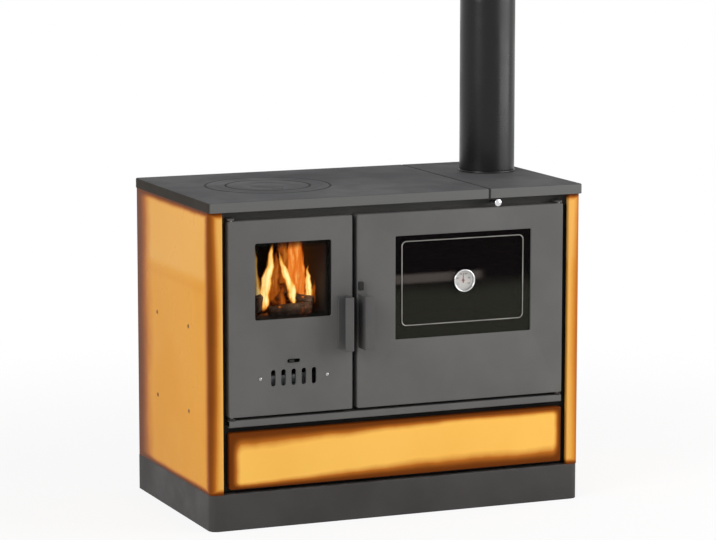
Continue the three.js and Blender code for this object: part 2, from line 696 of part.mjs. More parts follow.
/** Flue pipe: a standard length sleeved over the collar. */
function fluePipe() {
  const bottom = HOB_HEIGHT + COLLAR_FLANGE_THICKNESS + 2 * SEAT;
  const inner = FLUE_RADIUS - FLUE_WALL;
  return turnedZ([
    [inner, bottom],
    [FLUE_RADIUS, bottom],
    [FLUE_RADIUS, bottom + FLUE_LENGTH],
    [inner, bottom + FLUE_LENGTH],
    [inner, bottom],
  ], flueX, flueY, BIG_CIRCLE_STEPS);
}

// ---------------------------------------------------------------- damper

const baffleLeft = rodX + ROD_RADIUS + SEAT + DAMPER_THICKNESS + DAMPER_PLAY;
const baffleBottom = oven.top + OVEN_SHEET + SEAT;
const bypass = {
  front: flueY - BYPASS.length / 2,
  back: flueY + BYPASS.length / 2,
  bottom: baffleBottom + BYPASS.sill,
  top: baffleBottom + BYPASS.sill + BYPASS.height,
};

/** Baffle between the flue chamber and the way over the oven, with the bypass opening. */
function flueBaffle() {
  const plate = rectangle(behindFrame, oven.back, baffleBottom, skinUnderside - SEAT);
  plate.holes.push(roundedRect(bypass.front, bypass.back, bypass.bottom, bypass.top, BYPASS.corner));
  return wall(plate, baffleLeft, baffleLeft + BAFFLE);
}

/** Damper plate: slides along the baffle and covers the bypass when the knob is pushed in. */
function damperPlate() {
  const left = rodX + ROD_RADIUS + SEAT;
  const outline = roundedRect(bypass.front - DAMPER_LAP, bypass.back + DAMPER_LAP,
    bypass.bottom - DAMPER_LAP, bypass.top + DAMPER_LAP, BYPASS.corner);
  return wall(outline, left, left + DAMPER_THICKNESS);
}

/** Damper rod, from the knob through the front frame to the damper plate. */
function damperRod() {
  const front = casingFront - KNOB.proud + KNOB.length;
  return roundY(rodX, rodZ, ROD_RADIUS, front + SEAT, bypass.back);
}

/** Damper knob: a turned chrome pull. */
function damperKnob() {
  const front = casingFront - KNOB.proud;
  return turnedY([
    [0, front],
    [KNOB.radius - KNOB.edge, front],
    [KNOB.radius - KNOB.edge * ARC_MIDDLE, front + KNOB.edge * ARC_MIDDLE],
    [KNOB.radius, front + KNOB.edge],
    [KNOB.radius, front + KNOB.rim],
    [KNOB.neck, front + KNOB.shoulder],
    [KNOB.neck, front + KNOB.length],
    [0, front + KNOB.length],
  ], rodX, rodZ);
}

// ---------------------------------------------------------------- doors

/** Door leaf: a folded front plate with a rim, a window and a hinge boss at two corners. */
function doorLeaf(door, window, hingeX, cuts) {
  const outline = roundedRect(door.left, door.right, doorBottom, doorTop, DOOR_CORNER);
  const bosses = [];
  const holes = [];
  for (const [z0, z1] of [[doorBottom, doorBottom + PIN_IN_DOOR], [doorTop - PIN_IN_DOOR, doorTop]]) {
    bosses.push(block(hingeX - HINGE_INSET + OVERCUT, hingeX + LUG_HALF,
      casingFront + OVERCUT, hingeY + LUG_HALF, z0 + OVERCUT, z1 - OVERCUT));
    holes.push(roundZ(hingeX, hingeY, PIN_RADIUS + RUN, z0 - OVERCUT, z1 + OVERCUT, SMALL_CIRCLE_STEPS));
  }
  const pocket = block(door.left + DOOR_RIM, door.right - DOOR_RIM,
    casingFront + DOOR_FACE, doorBack + OVERCUT, doorBottom + DOOR_RIM, doorTop - DOOR_RIM);
  const opening = panel(roundedRect(window.left, window.right, window.bottom, window.top, window.corner),
    casingFront - OVERCUT, casingFront + DOOR_FACE + OVERCUT);
  const leaf = solid(panel(outline, casingFront, doorBack, DOOR_BEVEL)).subtract(solid(pocket));
  return shaped(geometryOf(leaf), { join: bosses, cut: [...holes, opening, ...cuts] });
}

/** Door liner: the inner sheet of a door, with a collar that holds the glass against the leaf. */
function doorLiner(door, window, cuts) {
  const inset = DOOR_RIM + SEAT;
  const front = doorBack - LINER;
  const outline = roundedRect(door.left + inset, door.right - inset,
    doorBottom + inset, doorTop - inset, DOOR_CORNER);
  const frame = (grow) => roundedRect(window.left - grow, window.right + grow,
    window.bottom - grow, window.top + grow, window.corner);
  return shaped(panel(outline, front, doorBack), {
    join: [panel(frame(GLASS_LAP), glassBack + SEAT, front + OVERCUT)],
    cut: [panel(frame(GLASS_LAP - LINER), glassBack - OVERCUT, doorBack + OVERCUT), ...cuts],
  });
}

/** Door glass, wider than its window by the lap. */
function doorGlass(window, cuts) {
  const grow = GLASS_LAP - SEAT;
  const pane = panel(roundedRect(window.left - grow, window.right + grow,
    window.bottom - grow, window.top + grow, window.corner), glassFront, glassBack);
  return cuts.length ? shaped(pane, { cut: cuts }) : pane;
}

/** Rope seal on the back of a liner, round the opening of the front frame. */
function doorSeal(x0, x1, z0, z1) {
  const outer = SEAL_LAP + SEAL_WIDTH;
  const ring = roundedRect(x0 - outer, x1 + outer, z0 - outer, z1 + outer, outer);
  ring.holes.push(roundedRect(x0 - SEAL_LAP, x1 + SEAL_LAP, z0 - SEAL_LAP, z1 + SEAL_LAP, SEAL_LAP));
  return panel(ring, doorBack + SEAT, frameFront - SEAT);
}

/** Hinge pin through a lug and into the door; end is +1 for the upper one. */
function hingePin(x, end) {
  const [z0, z1] = lugRange(end);
  const deep = PIN_IN_DOOR - DOOR_RIM;
  const [low, high] = end > 0 ? [doorTop - deep, z1] : [z0, doorBottom + deep];
  return roundZ(x, hingeY, PIN_RADIUS, low, high, SMALL_CIRCLE_STEPS);
}

const handleTop = doorTop - HANDLE_TOP_BELOW_DOOR_TOP;
const handleBottom = handleTop - HANDLE_HEIGHT;

/** Door handle: a folded strip with its web at x and its grip turned to a side (-1 left, +1 right). */
function doorHandle(x, side) {
  const foot = casingFront - SEAT;
  const grip = casingFront - HANDLE_REACH;
  const section = foldedSheet(
    [[x + side * HANDLE_WIDTH, foot], [x, foot], [x, grip], [x + side * HANDLE_WIDTH, grip]],
    [HANDLE_FOOT_BEND, HANDLE_BEND], HANDLE_SHEET, side);
  return slab(section, handleBottom, handleTop);
}

const fireLatch = { x: fireDoor.right - LATCH_NOSE.fromEdge, z: (handleTop + handleBottom) / 2 };
const ovenLatch = { x: ovenDoor.left + LATCH_NOSE.fromEdge, z: fireLatch.z };

/** Latch: a foot on the liner and a nose that enters the slot of the front frame. */
function latch({ x, z }) {
  const foot = doorBack + SEAT;
  const half = LATCH_NOSE.thickness / 2;
  const nose = block(x - half, x + half, foot, frameFront + LATCH_NOSE.length - DOOR_TO_FRAME,
    z - LATCH_NOSE.height / 2, z + LATCH_NOSE.height / 2);
  const plate = block(x - LATCH_FOOT.width / 2, x + LATCH_FOOT.width / 2, foot, foot + LATCH_FOOT.thickness,
    z - LATCH_FOOT.height / 2, z + LATCH_FOOT.height / 2);
  return shaped(plate, { join: [nose] });
}

/** Catch block: the outer end of the oven door's catch, above its handle. */
function catchBlock() {
  const z = handleTop + CATCH_BLOCK.aboveHandle;
  const left = ovenDoor.left + DOOR_BEVEL;
  return panel(roundedRect(left, left + CATCH_BLOCK.width, z, z + CATCH_BLOCK.height, CATCH_BLOCK.corner),
    casingFront - SEAT - CATCH_BLOCK.depth, casingFront - SEAT, CATCH_BLOCK.bevel);
}

// ---------------------------------------------------------------- firebox door air inlet

/** The row of air slots as cutting shapes, shared by the door and the slider. */
function airSlots(y0, y1) {
  return Array.from({ length: AIR_SLOT.count }, (_, i) => {
    const x = airCentreX + (i - (AIR_SLOT.count - 1) / 2) * AIR_SLOT.pitch;
    return panel(roundEnded(x - AIR_SLOT.width / 2, x + AIR_SLOT.width / 2,
      airCentreZ - AIR_SLOT.height / 2, airCentreZ + AIR_SLOT.height / 2), y0, y1);
  });
}

/** Everything cut in the firebox door's front plate under its window. */
function airInletCuts() {
  const y0 = casingFront - OVERCUT;
  const y1 = casingFront + DOOR_FACE + OVERCUT;
  const tabSlot = panel(roundEnded(airCentreX - TAB_SLOT.width / 2, airCentreX + TAB_SLOT.width / 2,
    tabZ - TAB_SLOT.height / 2, tabZ + TAB_SLOT.height / 2), y0, y1);
  const screws = [-1, 1].map((side) => roundY(airCentreX + side * SLIDER.screwSpread, airCentreZ,
    SLIDER.screwRadius + SEAT, y0, y1, SCREW_STEPS));
  return [...airSlots(y0, y1), tabSlot, ...screws];
}

/** The firebox liner's opening behind the air slider. */
function airInletLinerCut() {
  const half = SLIDER.screwSpread - AIR_SLOT.pitch / 2;
  return block(airCentreX - half, airCentreX + half, doorBack - LINER - OVERCUT, doorBack + OVERCUT,
    airCentreZ - SLIDER.height / 2, airCentreZ + SLIDER.height / 2);
}

/** Air slider: a plate with the same slots, two guide slots and the tab that moves it. */
function airSlider() {
  const front = casingFront + DOOR_FACE + SEAT;
  const back = front + SLIDER.thickness;
  const plate = panel(roundedRect(airCentreX - SLIDER.halfWidth, airCentreX + SLIDER.halfWidth,
    airCentreZ - SLIDER.height / 2, airCentreZ + SLIDER.height / 2, SLIDER.corner), front, back);
  const tabX = airCentreX - SLIDER_TRAVEL / 2;
  const stem = block(tabX - TAB.width / 2, tabX + TAB.width / 2, front, back,
    airCentreZ + SLIDER.height / 2 - OVERCUT, tabZ + TAB.height / 2);
  const tab = block(tabX - TAB.width / 2, tabX + TAB.width / 2, casingFront - TAB.proud, back,
    tabZ - TAB.height / 2, tabZ + TAB.height / 2);
  const reach = SLIDER.screwRadius + RUN;
  const guides = [-1, 1].map((side) => {
    const x = airCentreX + side * SLIDER.screwSpread;
    return panel(roundEnded(x - SLIDER_TRAVEL - reach, x + reach, airCentreZ - reach, airCentreZ + reach),
      front - OVERCUT, back + OVERCUT);
  });
  return shaped(plate, { join: [stem, tab], cut: [...airSlots(front - OVERCUT, back + OVERCUT), ...guides] });
}

/** Screw that guides the slider, with its head on the door's face and its nut behind the slider. */
function sliderScrew(side) {
  const face = casingFront - SEAT;
  const nut = casingFront + DOOR_FACE + SLIDER.thickness + 2 * SEAT;
  return turnedY([
    [0, face - SCREW_HEAD.height],
    [SCREW_HEAD.radius - SCREW_HEAD.chamfer, face - SCREW_HEAD.height],
    [SCREW_HEAD.radius, face - SCREW_HEAD.height + SCREW_HEAD.chamfer],
    [SCREW_HEAD.radius, face],
    [SLIDER.screwRadius, face],
    [SLIDER.screwRadius, nut],
    [SCREW_HEAD.radius, nut],
    [SCREW_HEAD.radius, nut + SCREW_NUT_THICKNESS],
    [0, nut + SCREW_NUT_THICKNESS],
  ], airCentreX + side * SLIDER.screwSpread, airCentreZ, SCREW_STEPS);
}

// ---------------------------------------------------------------- oven door dressing

const bead = {
  left: ovenWindow.left + BEAD.left,
  right: ovenWindow.right - BEAD.right,
  bottom: ovenWindow.bottom + BEAD.bottom,
  top: ovenWindow.top - BEAD.top,
};
const dial = { x: (bead.left + bead.right) / 2, z: (bead.bottom + bead.top) / 2 };

/** Bright bead on the oven glass, with rounded corners. */
function glassBead() {
  const line = roundedRect(bead.left, bead.right, bead.bottom, bead.top, BEAD.corner);
  line.holes.push(roundedRect(bead.left + BEAD.width, bead.right - BEAD.width,
    bead.bottom + BEAD.width, bead.top - BEAD.width, BEAD.corner - BEAD.width));
  return panel(line, glassFront - SEAT - BEAD.proud, glassFront - SEAT);
}

/** Thermometer case: a cup on the glass, with a stem through it. */
function thermometerCase() {
  const back = glassFront - SEAT;
  const front = back - THERMOMETER.depth;
  const bore = THERMOMETER.radius - THERMOMETER.wall;
  return turnedY([
    [0, back - THERMOMETER.wall],
    [bore, back - THERMOMETER.wall],
    [bore, front + THERMOMETER.rim],
    [bore + THERMOMETER.wall / 2, front],
    [THERMOMETER.radius, front + THERMOMETER.rim],
    [THERMOMETER.radius, back],
    [THERMOMETER.stemRadius, back],
    [THERMOMETER.stemRadius, back + THERMOMETER.stemLength],
    [0, back + THERMOMETER.stemLength],
  ], dial.x, dial.z, MEDIUM_CIRCLE_STEPS);
}

const dialFront = glassFront - SEAT - THERMOMETER.wall - SEAT - DIAL_THICKNESS;
const dialRadius = THERMOMETER.radius - THERMOMETER.wall - SEAT;

/** Thermometer dial: the disc behind the needle. */
function thermometerDial() {
  return roundY(dial.x, dial.z, dialRadius, dialFront, dialFront + DIAL_THICKNESS, MEDIUM_CIRCLE_STEPS);
}

/** Thermometer needle on its hub, pointing up at rest. */
function thermometerNeedle() {
  const back = dialFront - SEAT;
  const blade = outlineOf([
    [dial.x - NEEDLE.width / 2, dial.z - NEEDLE.tail],
    [dial.x + NEEDLE.width / 2, dial.z - NEEDLE.tail],
    [dial.x + NEEDLE.tip / 2, dial.z + NEEDLE.length],
    [dial.x - NEEDLE.tip / 2, dial.z + NEEDLE.length],
  ]);
  return shaped(panel(blade, back - NEEDLE.thickness, back),
    { join: [roundY(dial.x, dial.z, NEEDLE.hub, back - 2 * NEEDLE.thickness, back, SMALL_CIRCLE_STEPS)] });
}

/** Thermometer lens: the clear disc in the mouth of the case. */
function thermometerLens() {
  const front = glassFront - SEAT - THERMOMETER.depth + LENS.belowRim;
  return roundY(dial.x, dial.z, dialRadius, front, front + LENS.thickness, MEDIUM_CIRCLE_STEPS);
}

// ---------------------------------------------------------------- firebox

/** Firebox shell: a welded box open at the front and top, with the ledge that carries the grate. */
function fireboxShell() {
  const { left, right } = shellInner;
  const outer = block(left - SHELL, right + SHELL, behindFrame, shellBack + SHELL,
    fireboxFloor - SHELL, bodyTop);
  const ashBay = block(left, right, behindFrame - OVERCUT, shellBack, fireboxFloor, ledgeTop - SHELL);
  const chamber = block(left, right, behindFrame - OVERCUT, shellBack, ledgeTop, bodyTop + OVERCUT);
  const throat = block(hearth.left + GRATE_LEDGE, hearth.right - GRATE_LEDGE,
    behindFrame + GRATE_LEDGE, hearthBack - GRATE_LEDGE, ledgeTop - SHELL - OVERCUT, ledgeTop + OVERCUT);
  const middle = (behindFrame + shellBack) / 2;
  const smokeGap = block(right - OVERCUT, right + SHELL + OVERCUT,
    middle - SMOKE_GAP_LENGTH / 2, middle + SMOKE_GAP_LENGTH / 2, brickTop, bodyTop + OVERCUT);
  return shaped(outer, { cut: [ashBay, chamber, throat, smokeGap] });
}

/** Side firebrick, with its inner top edge chamfered; side is -1 for the left one. */
function sideBrick(side) {
  const x = side < 0 ? shellInner.left + SEAT : shellInner.right - SEAT;
  const z0 = ledgeTop + SEAT;
  const section = outlineOf([
    [x, z0],
    [x - side * BRICK, z0],
    [x - side * BRICK, brickTop - BRICK_CHAMFER],
    [x - side * (BRICK - BRICK_CHAMFER), brickTop],
    [x, brickTop],
  ]);
  return panel(section, behindFrame + EASE, shellBack - SEAT);
}

/** Rear firebrick, between the side ones. */
function backBrick() {
  const z0 = ledgeTop + SEAT;
  const section = outlineOf([
    [shellBack - SEAT, z0],
    [hearthBack, z0],
    [hearthBack, brickTop - BRICK_CHAMFER],
    [hearthBack + BRICK_CHAMFER, brickTop],
    [shellBack - SEAT, brickTop],
  ]);
  return wall(section, hearth.left + SEAT, hearth.right - SEAT);
}

/** Grate: a cast plate with long slots between its bars. */
function fireGrate() {
  const x0 = hearth.left + EASE;
  const x1 = hearth.right - EASE;
  const y0 = behindFrame + EASE;
  const y1 = hearthBack - EASE;
  const plate = roundedRect(x0, x1, y0, y1, GRATE.corner);
  const pitch = GRATE.bar + GRATE.slot;
  const count = Math.floor((x1 - x0 - 2 * GRATE.border + GRATE.bar) / pitch);
  const first = (x0 + x1) / 2 - (count - 1) * pitch / 2;
  const middle = (y0 + y1) / 2;
  for (let i = 0; i < count; i += 1) {
    const x = first + i * pitch;
    const half = GRATE.slot / 2;
    plate.holes.push(roundEnded(x - half, x + half, y0 + GRATE.border, middle - GRATE.bar / 2));
    plate.holes.push(roundEnded(x - half, x + half, middle + GRATE.bar / 2, y1 - GRATE.border));
  }
  return slab(plate, ledgeTop + SEAT, grateTop, 0, 1);
}

const ashPanBox = {
  left: shellInner.left + ASH_PAN.sideEase,
  right: shellInner.right - ASH_PAN.sideEase,
  front: behindFrame + ASH_GRIP.reach + SEAT,
  bottom: fireboxFloor + SEAT,
};

/** Ash pan: an open tray that slides under the grate. */
function ashPan() {
  const { left, right, front, bottom } = ashPanBox;
  const t = ASH_PAN.sheet;
  const back = front + ASH_PAN.length;
  const top = bottom + ASH_PAN.height;
  return shaped(block(left, right, front, back, bottom, top), {
    cut: [block(left + t, right - t, front + t, back - t, bottom + t, top + OVERCUT)],
  });
}

/** Grip of the ash pan: a folded strip on its front wall. */
function ashPanGrip() {
  const back = ashPanBox.front - SEAT;
  const top = ashPanBox.bottom + ASH_PAN.height;
  const front = back - ASH_GRIP.reach;
  const section = foldedSheet(
    [[back, top - ASH_GRIP.foot], [back, top], [front, top], [front, top - ASH_GRIP.lip]],
    [ASH_GRIP.fold, ASH_GRIP.fold], ASH_GRIP.sheet, 1);
  const middle = (ashPanBox.left + ashPanBox.right) / 2;
  return wall(section, middle - ASH_GRIP.width / 2, middle + ASH_GRIP.width / 2);
}

// ---------------------------------------------------------------- oven and smoke ways

/** Oven box: open at the front, with two pairs of ribs that carry the rack and the tray. */
function ovenBox() {
  const t = OVEN_SHEET;
  const outer = block(oven.left - t, oven.right + t, behindFrame, oven.back + t,
    oven.bottom - t, oven.top + t);
  const cavity = block(oven.left, oven.right, behindFrame - OVERCUT, oven.back, oven.bottom, oven.top);
  const ribs = [RACK_LEVEL, TRAY_LEVEL].flatMap((level) => {
    const z1 = oven.bottom + level;
    const rib = (x0, x1) => block(x0, x1, behindFrame + SHELF_SETBACK, oven.back + OVERCUT,
      z1 - SHELF_RIB.height, z1);
    return [
      rib(oven.left - OVERCUT, oven.left + SHELF_RIB.width),
      rib(oven.right - SHELF_RIB.width, oven.right + OVERCUT),
    ];
  });
  const shell = solid(outer).subtract(solid(cavity));
  return shaped(geometryOf(shell), { join: ribs });
}

/** Oven rack: a bent-rod frame with cross bars. */
function ovenRack() {
  const r = RACK.rod / 2;
  const z = oven.bottom + RACK_LEVEL + SEAT + r;
  const x0 = oven.left + SHELF_EASE + r;
  const x1 = oven.right - SHELF_EASE - r;
  const y0 = behindFrame + SHELF_SETBACK + r;
  const y1 = y0 + RACK.depth;
  const rods = [];
  for (let i = 0; i < RACK.bars; i += 1) {
    const x = x0 + (x1 - x0) * i / (RACK.bars - 1);
    rods.push(roundY(x, z, r, y0 - r, y1 + r, ROD_STEPS));
  }
  for (let i = 0; i < RACK.rails; i += 1) {
    rods.push(roundX(y0 + (y1 - y0) * i / (RACK.rails - 1), z, r, x0 - r, x1 + r, ROD_STEPS));
  }
  return shaped(rods[0], { join: rods.slice(1) });
}

/** Baking tray: flared sides and a flange that hangs on the upper ribs. */
function bakingTray() {
  const x0 = oven.left + SHELF_EASE;
  const x1 = oven.right - SHELF_EASE;
  const y0 = behindFrame + SHELF_SETBACK;
  const y1 = y0 + TRAY.length;
  const z1 = oven.bottom + TRAY_LEVEL + SEAT + TRAY.sheet;
  const z0 = z1 - TRAY.depth;
  const cup = (inset, bottom, top) => {
    const mouth = SHELF_RIB.width + inset;
    const geometry = block(x0 + mouth, x1 - mouth,
      y0 + TRAY.flange + inset, y1 - TRAY.flange - inset, bottom, top);
    const centreX = (x0 + x1) / 2;
    const centreY = (y0 + y1) / 2;
    const position = geometry.attributes.position;
    for (let i = 0; i < position.count; i += 1) {
      if (position.getZ(i) > (bottom + top) / 2) continue;
      position.setX(i, position.getX(i) - Math.sign(position.getX(i) - centreX) * TRAY.flare);
      position.setY(i, position.getY(i) - Math.sign(position.getY(i) - centreY) * TRAY.flare);
    }
    return geometry;
  };
  const flange = slab(roundedRect(x0, x1, y0, y1, TRAY.corner), z1 - TRAY.sheet, z1);
  return shaped(flange, { join: [cup(0, z0, z1)], cut: [cup(TRAY.sheet, z0 + TRAY.sheet, z1 + OVERCUT)] });
}

/** Smoke casing: floor, right wall and back wall of the smoke ways round the oven. */
function smokeCasing() {
  const x0 = shellInner.right + SHELL + SEAT;
  const x1 = oven.right + OVEN_SHEET + DUCT;
  const y1 = oven.back + OVEN_SHEET + DUCT_REAR;
  const z0 = fireboxFloor - SHELL;
  const outer = block(x0, x1, behindFrame, y1, z0, bodyTop);
  const inner = block(x0 - OVERCUT, x1 - SHELL, behindFrame - OVERCUT, y1 - SHELL,
    z0 + SHELL, bodyTop + OVERCUT);
  return shaped(outer, { cut: [inner] });
}

// ---------------------------------------------------------------- drawer

/** Drawer front: an enamelled pressing with rounded edges, hollow behind. */
function drawerFront() {
  const t = DRAWER_FRONT_SHEET;
  const outline = roundedRect(-doorSpan, doorSpan, drawerBottom, drawerTop, DRAWER_FRONT_CORNER);
  const back = casingFront + DRAWER_FRONT_DEPTH;
  const pocket = block(-doorSpan + t, doorSpan - t, casingFront + t, back + OVERCUT,
    drawerBottom + t, drawerTop - t);
  return shaped(panel(outline, casingFront, back, DOOR_BEVEL), { cut: [pocket] });
}

/** Drawer box: an open sheet box behind the front. */
function drawerBoxBody() {
  const t = DRAWER_SHEET;
  const { half, bottom, top, front, back } = drawerBox;
  return shaped(block(-half, half, front, back, bottom, top), {
    cut: [block(-half + t, half - t, front + t, back - t, bottom + t, top + OVERCUT)],
  });
}

/** Drawer runner: an angle on the side panel with its leg under the box; side is -1 for the left one. */
function drawerRunner(side) {
  const top = drawerBox.bottom - SEAT;
  const inner = drawerBox.half - RUNNER_LAP;
  const section = foldedSheet([
    [side * inner, top - RUNNER_SHEET],
    [side * panelInner, top - RUNNER_SHEET],
    [side * panelInner, top + RUNNER_RISE],
  ], [FOLD_RADIUS], RUNNER_SHEET, side);
  return panel(section, behindFrame, drawerBox.back);
}

// ---------------------------------------------------------------- assembly

const casing = new THREE.Group();
addPiece(casing, 'plinth', plinth(), MATERIALS.plinth);
addPiece(casing, 'plinth_floor', plinthFloor(), MATERIALS.plinth);
addPiece(casing, 'left_side_panel', sidePanel(-1), MATERIALS.enamel);
addPiece(casing, 'right_side_panel', sidePanel(1), MATERIALS.enamel);
addPiece(casing, 'back_panel', backPanel(), MATERIALS.steel);
addPiece(casing, 'rear_flue_cover', rearFlueCover(), MATERIALS.steel);
addPiece(casing, 'front_frame', frontFrame(), MATERIALS.black);
addPiece(casing, 'mid_rail', midRail(), MATERIALS.paint);
addPiece(casing, 'heat_shield', heatShield(), MATERIALS.steel);

const top = new THREE.Group();
addPiece(top, 'cooking_plate', cookingPlate(), MATERIALS.cast);
addPiece(top, 'flue_plate', fluePlate(), MATERIALS.cast);
addPiece(top, 'hob_ring', hobRing(), MATERIALS.cast);
addPiece(top, 'hob_lid', hobLid(), MATERIALS.cast);
addPiece(top, 'flue_collar', flueCollar(), MATERIALS.flue);
addPiece(top, 'flue_pipe', fluePipe(), MATERIALS.flue);

const damper = new THREE.Group();
addPiece(damper, 'flue_baffle', flueBaffle(), MATERIALS.black);
addPiece(damper, 'damper_plate', damperPlate(), MATERIALS.cast);
addPiece(damper, 'damper_rod', damperRod(), MATERIALS.steel);
addPiece(damper, 'damper_knob', damperKnob(), MATERIALS.chrome);

const fireDoorGroup = new THREE.Group();
addPiece(fireDoorGroup, 'firebox_door',
  doorLeaf(fireDoor, fireWindow, fireHingeX, airInletCuts()), MATERIALS.paint);
addPiece(fireDoorGroup, 'firebox_door_liner',
  doorLiner(fireDoor, fireWindow, [airInletLinerCut()]), MATERIALS.black);
addPiece(fireDoorGroup, 'firebox_glass', doorGlass(fireWindow, []), MATERIALS.glass);
addPiece(fireDoorGroup, 'firebox_seal',
  doorSeal(fireMouth.left, fireMouth.right, fireboxFloor, brickTop), MATERIALS.rope);
addPiece(fireDoorGroup, 'air_slider', airSlider(), MATERIALS.black);
addPiece(fireDoorGroup, 'slider_screw_left', sliderScrew(-1), MATERIALS.steel);
addPiece(fireDoorGroup, 'slider_screw_right', sliderScrew(1), MATERIALS.steel);
addPiece(fireDoorGroup, 'firebox_handle',
  doorHandle(fireDoor.right - FIREBOX_HANDLE_FROM_EDGE, -1), MATERIALS.paint);
addPiece(fireDoorGroup, 'firebox_latch', latch(fireLatch), MATERIALS.steel);
addPiece(fireDoorGroup, 'firebox_hinge_pin_upper', hingePin(fireHingeX, 1), MATERIALS.steel);
addPiece(fireDoorGroup, 'firebox_hinge_pin_lower', hingePin(fireHingeX, -1), MATERIALS.steel);

const stemHole = roundY(dial.x, dial.z, THERMOMETER.stemRadius + SEAT,
  glassFront - OVERCUT, glassBack + OVERCUT);
const ovenDoorGroup = new THREE.Group();
addPiece(ovenDoorGroup, 'oven_door', doorLeaf(ovenDoor, ovenWindow, ovenHingeX, []), MATERIALS.paint);
addPiece(ovenDoorGroup, 'oven_door_liner', doorLiner(ovenDoor, ovenWindow, []), MATERIALS.black);
addPiece(ovenDoorGroup, 'oven_glass', doorGlass(ovenWindow, [stemHole]), MATERIALS.glass);
addPiece(ovenDoorGroup, 'oven_glass_bead', glassBead(), MATERIALS.chrome);
addPiece(ovenDoorGroup, 'oven_seal', doorSeal(oven.left, oven.right, oven.bottom, oven.top), MATERIALS.rope);
addPiece(ovenDoorGroup, 'oven_handle', doorHandle(ovenDoor.left + DOOR_BEVEL, 1), MATERIALS.paint);
addPiece(ovenDoorGroup, 'oven_catch_block', catchBlock(), MATERIALS.black);
addPiece(ovenDoorGroup, 'oven_latch', latch(ovenLatch), MATERIALS.steel);
addPiece(ovenDoorGroup, 'oven_hinge_pin_upper', hingePin(ovenHingeX, 1), MATERIALS.steel);
addPiece(ovenDoorGroup, 'oven_hinge_pin_lower', hingePin(ovenHingeX, -1), MATERIALS.steel);
addPiece(ovenDoorGroup, 'thermometer_case', thermometerCase(), MATERIALS.chrome);
addPiece(ovenDoorGroup, 'thermometer_dial', thermometerDial(), MATERIALS.dial);
addPiece(ovenDoorGroup, 'thermometer_needle', thermometerNeedle(), MATERIALS.needle);
addPiece(ovenDoorGroup, 'thermometer_lens', thermometerLens(), MATERIALS.glass);

const inside = new THREE.Group();
addPiece(inside, 'firebox_shell', fireboxShell(), MATERIALS.black);
addPiece(inside, 'firebrick_left', sideBrick(-1), MATERIALS.brick);
addPiece(inside, 'firebrick_right', sideBrick(1), MATERIALS.brick);
addPiece(inside, 'firebrick_back', backBrick(), MATERIALS.brick);
addPiece(inside, 'grate', fireGrate(), MATERIALS.cast);
addPiece(inside, 'ash_pan', ashPan(), MATERIALS.steel);
addPiece(inside, 'ash_pan_grip', ashPanGrip(), MATERIALS.steel);
addPiece(inside, 'oven_box', ovenBox(), MATERIALS.ovenEnamel);
addPiece(inside, 'oven_rack', ovenRack(), MATERIALS.chrome);
addPiece(inside, 'baking_tray', bakingTray(), MATERIALS.ovenEnamel);
addPiece(inside, 'smoke_casing', smokeCasing(), MATERIALS.black);

const drawer = new THREE.Group();
addPiece(drawer, 'drawer_front', drawerFront(), MATERIALS.enamel);
addPiece(drawer, 'drawer_box', drawerBoxBody(), MATERIALS.steel);
addPiece(drawer, 'drawer_runner_left', drawerRunner(-1), MATERIALS.steel);
addPiece(drawer, 'drawer_runner_right', drawerRunner(1), MATERIALS.steel);

stove.add(casing, top, damper, fireDoorGroup, ovenDoorGroup, inside, drawer);

export default stove;
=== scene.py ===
"""Wood cookstove: the surfaces, finishes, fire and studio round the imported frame.

Everything is in metres, in the frame's own axes: +X to the stove's right, +Y to its back, +Z up.
"""

from __future__ import annotations

import json
import logging
import math
from dataclasses import dataclass
from enum import Enum
from functools import partial
from typing import Any, Callable, Sequence

import bpy
import numpy as np
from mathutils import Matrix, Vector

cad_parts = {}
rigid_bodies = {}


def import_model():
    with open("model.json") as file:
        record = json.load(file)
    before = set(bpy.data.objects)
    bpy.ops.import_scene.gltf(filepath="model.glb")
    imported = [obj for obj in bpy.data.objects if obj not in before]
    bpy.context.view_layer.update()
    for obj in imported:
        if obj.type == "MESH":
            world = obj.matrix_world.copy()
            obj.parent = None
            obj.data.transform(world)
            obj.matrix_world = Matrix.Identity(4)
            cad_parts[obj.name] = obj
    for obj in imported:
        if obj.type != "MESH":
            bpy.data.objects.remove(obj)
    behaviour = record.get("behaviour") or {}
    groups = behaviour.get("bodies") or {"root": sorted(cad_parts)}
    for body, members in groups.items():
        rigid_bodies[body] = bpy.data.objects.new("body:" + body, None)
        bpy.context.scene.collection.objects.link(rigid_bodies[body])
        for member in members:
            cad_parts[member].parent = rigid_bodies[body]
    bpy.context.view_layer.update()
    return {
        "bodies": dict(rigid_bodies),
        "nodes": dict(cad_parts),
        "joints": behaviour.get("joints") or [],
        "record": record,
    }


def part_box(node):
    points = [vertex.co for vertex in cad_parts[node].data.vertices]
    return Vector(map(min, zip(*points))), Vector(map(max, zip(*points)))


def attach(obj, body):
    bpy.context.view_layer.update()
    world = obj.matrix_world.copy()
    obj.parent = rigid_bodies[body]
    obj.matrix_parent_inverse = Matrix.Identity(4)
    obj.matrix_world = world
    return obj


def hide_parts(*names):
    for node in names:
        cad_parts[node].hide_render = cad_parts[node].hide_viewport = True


LOG = logging.getLogger("cookstove")

Array = np.ndarray
Loop = Array
Box = tuple[Array, Array]
Pair = tuple[float, float]
Point = tuple[float, float, float]
Colour = tuple[float, float, float, float]
Piece = bpy.types.Object
Material = bpy.types.Material
Socket = bpy.types.NodeSocket

SHARP_ANGLE = math.radians(32)
BEVEL_ANGLE = math.radians(40)
ARC_STEPS = 6
ROUND_STEPS = 96
GRAIN_GROUP = "surface_grain"
BAND_GROUP = "edge_band"
DUST_GROUP = "settled_dust"
FLAME_LAYOUT = "flame"


# -------- surfaces


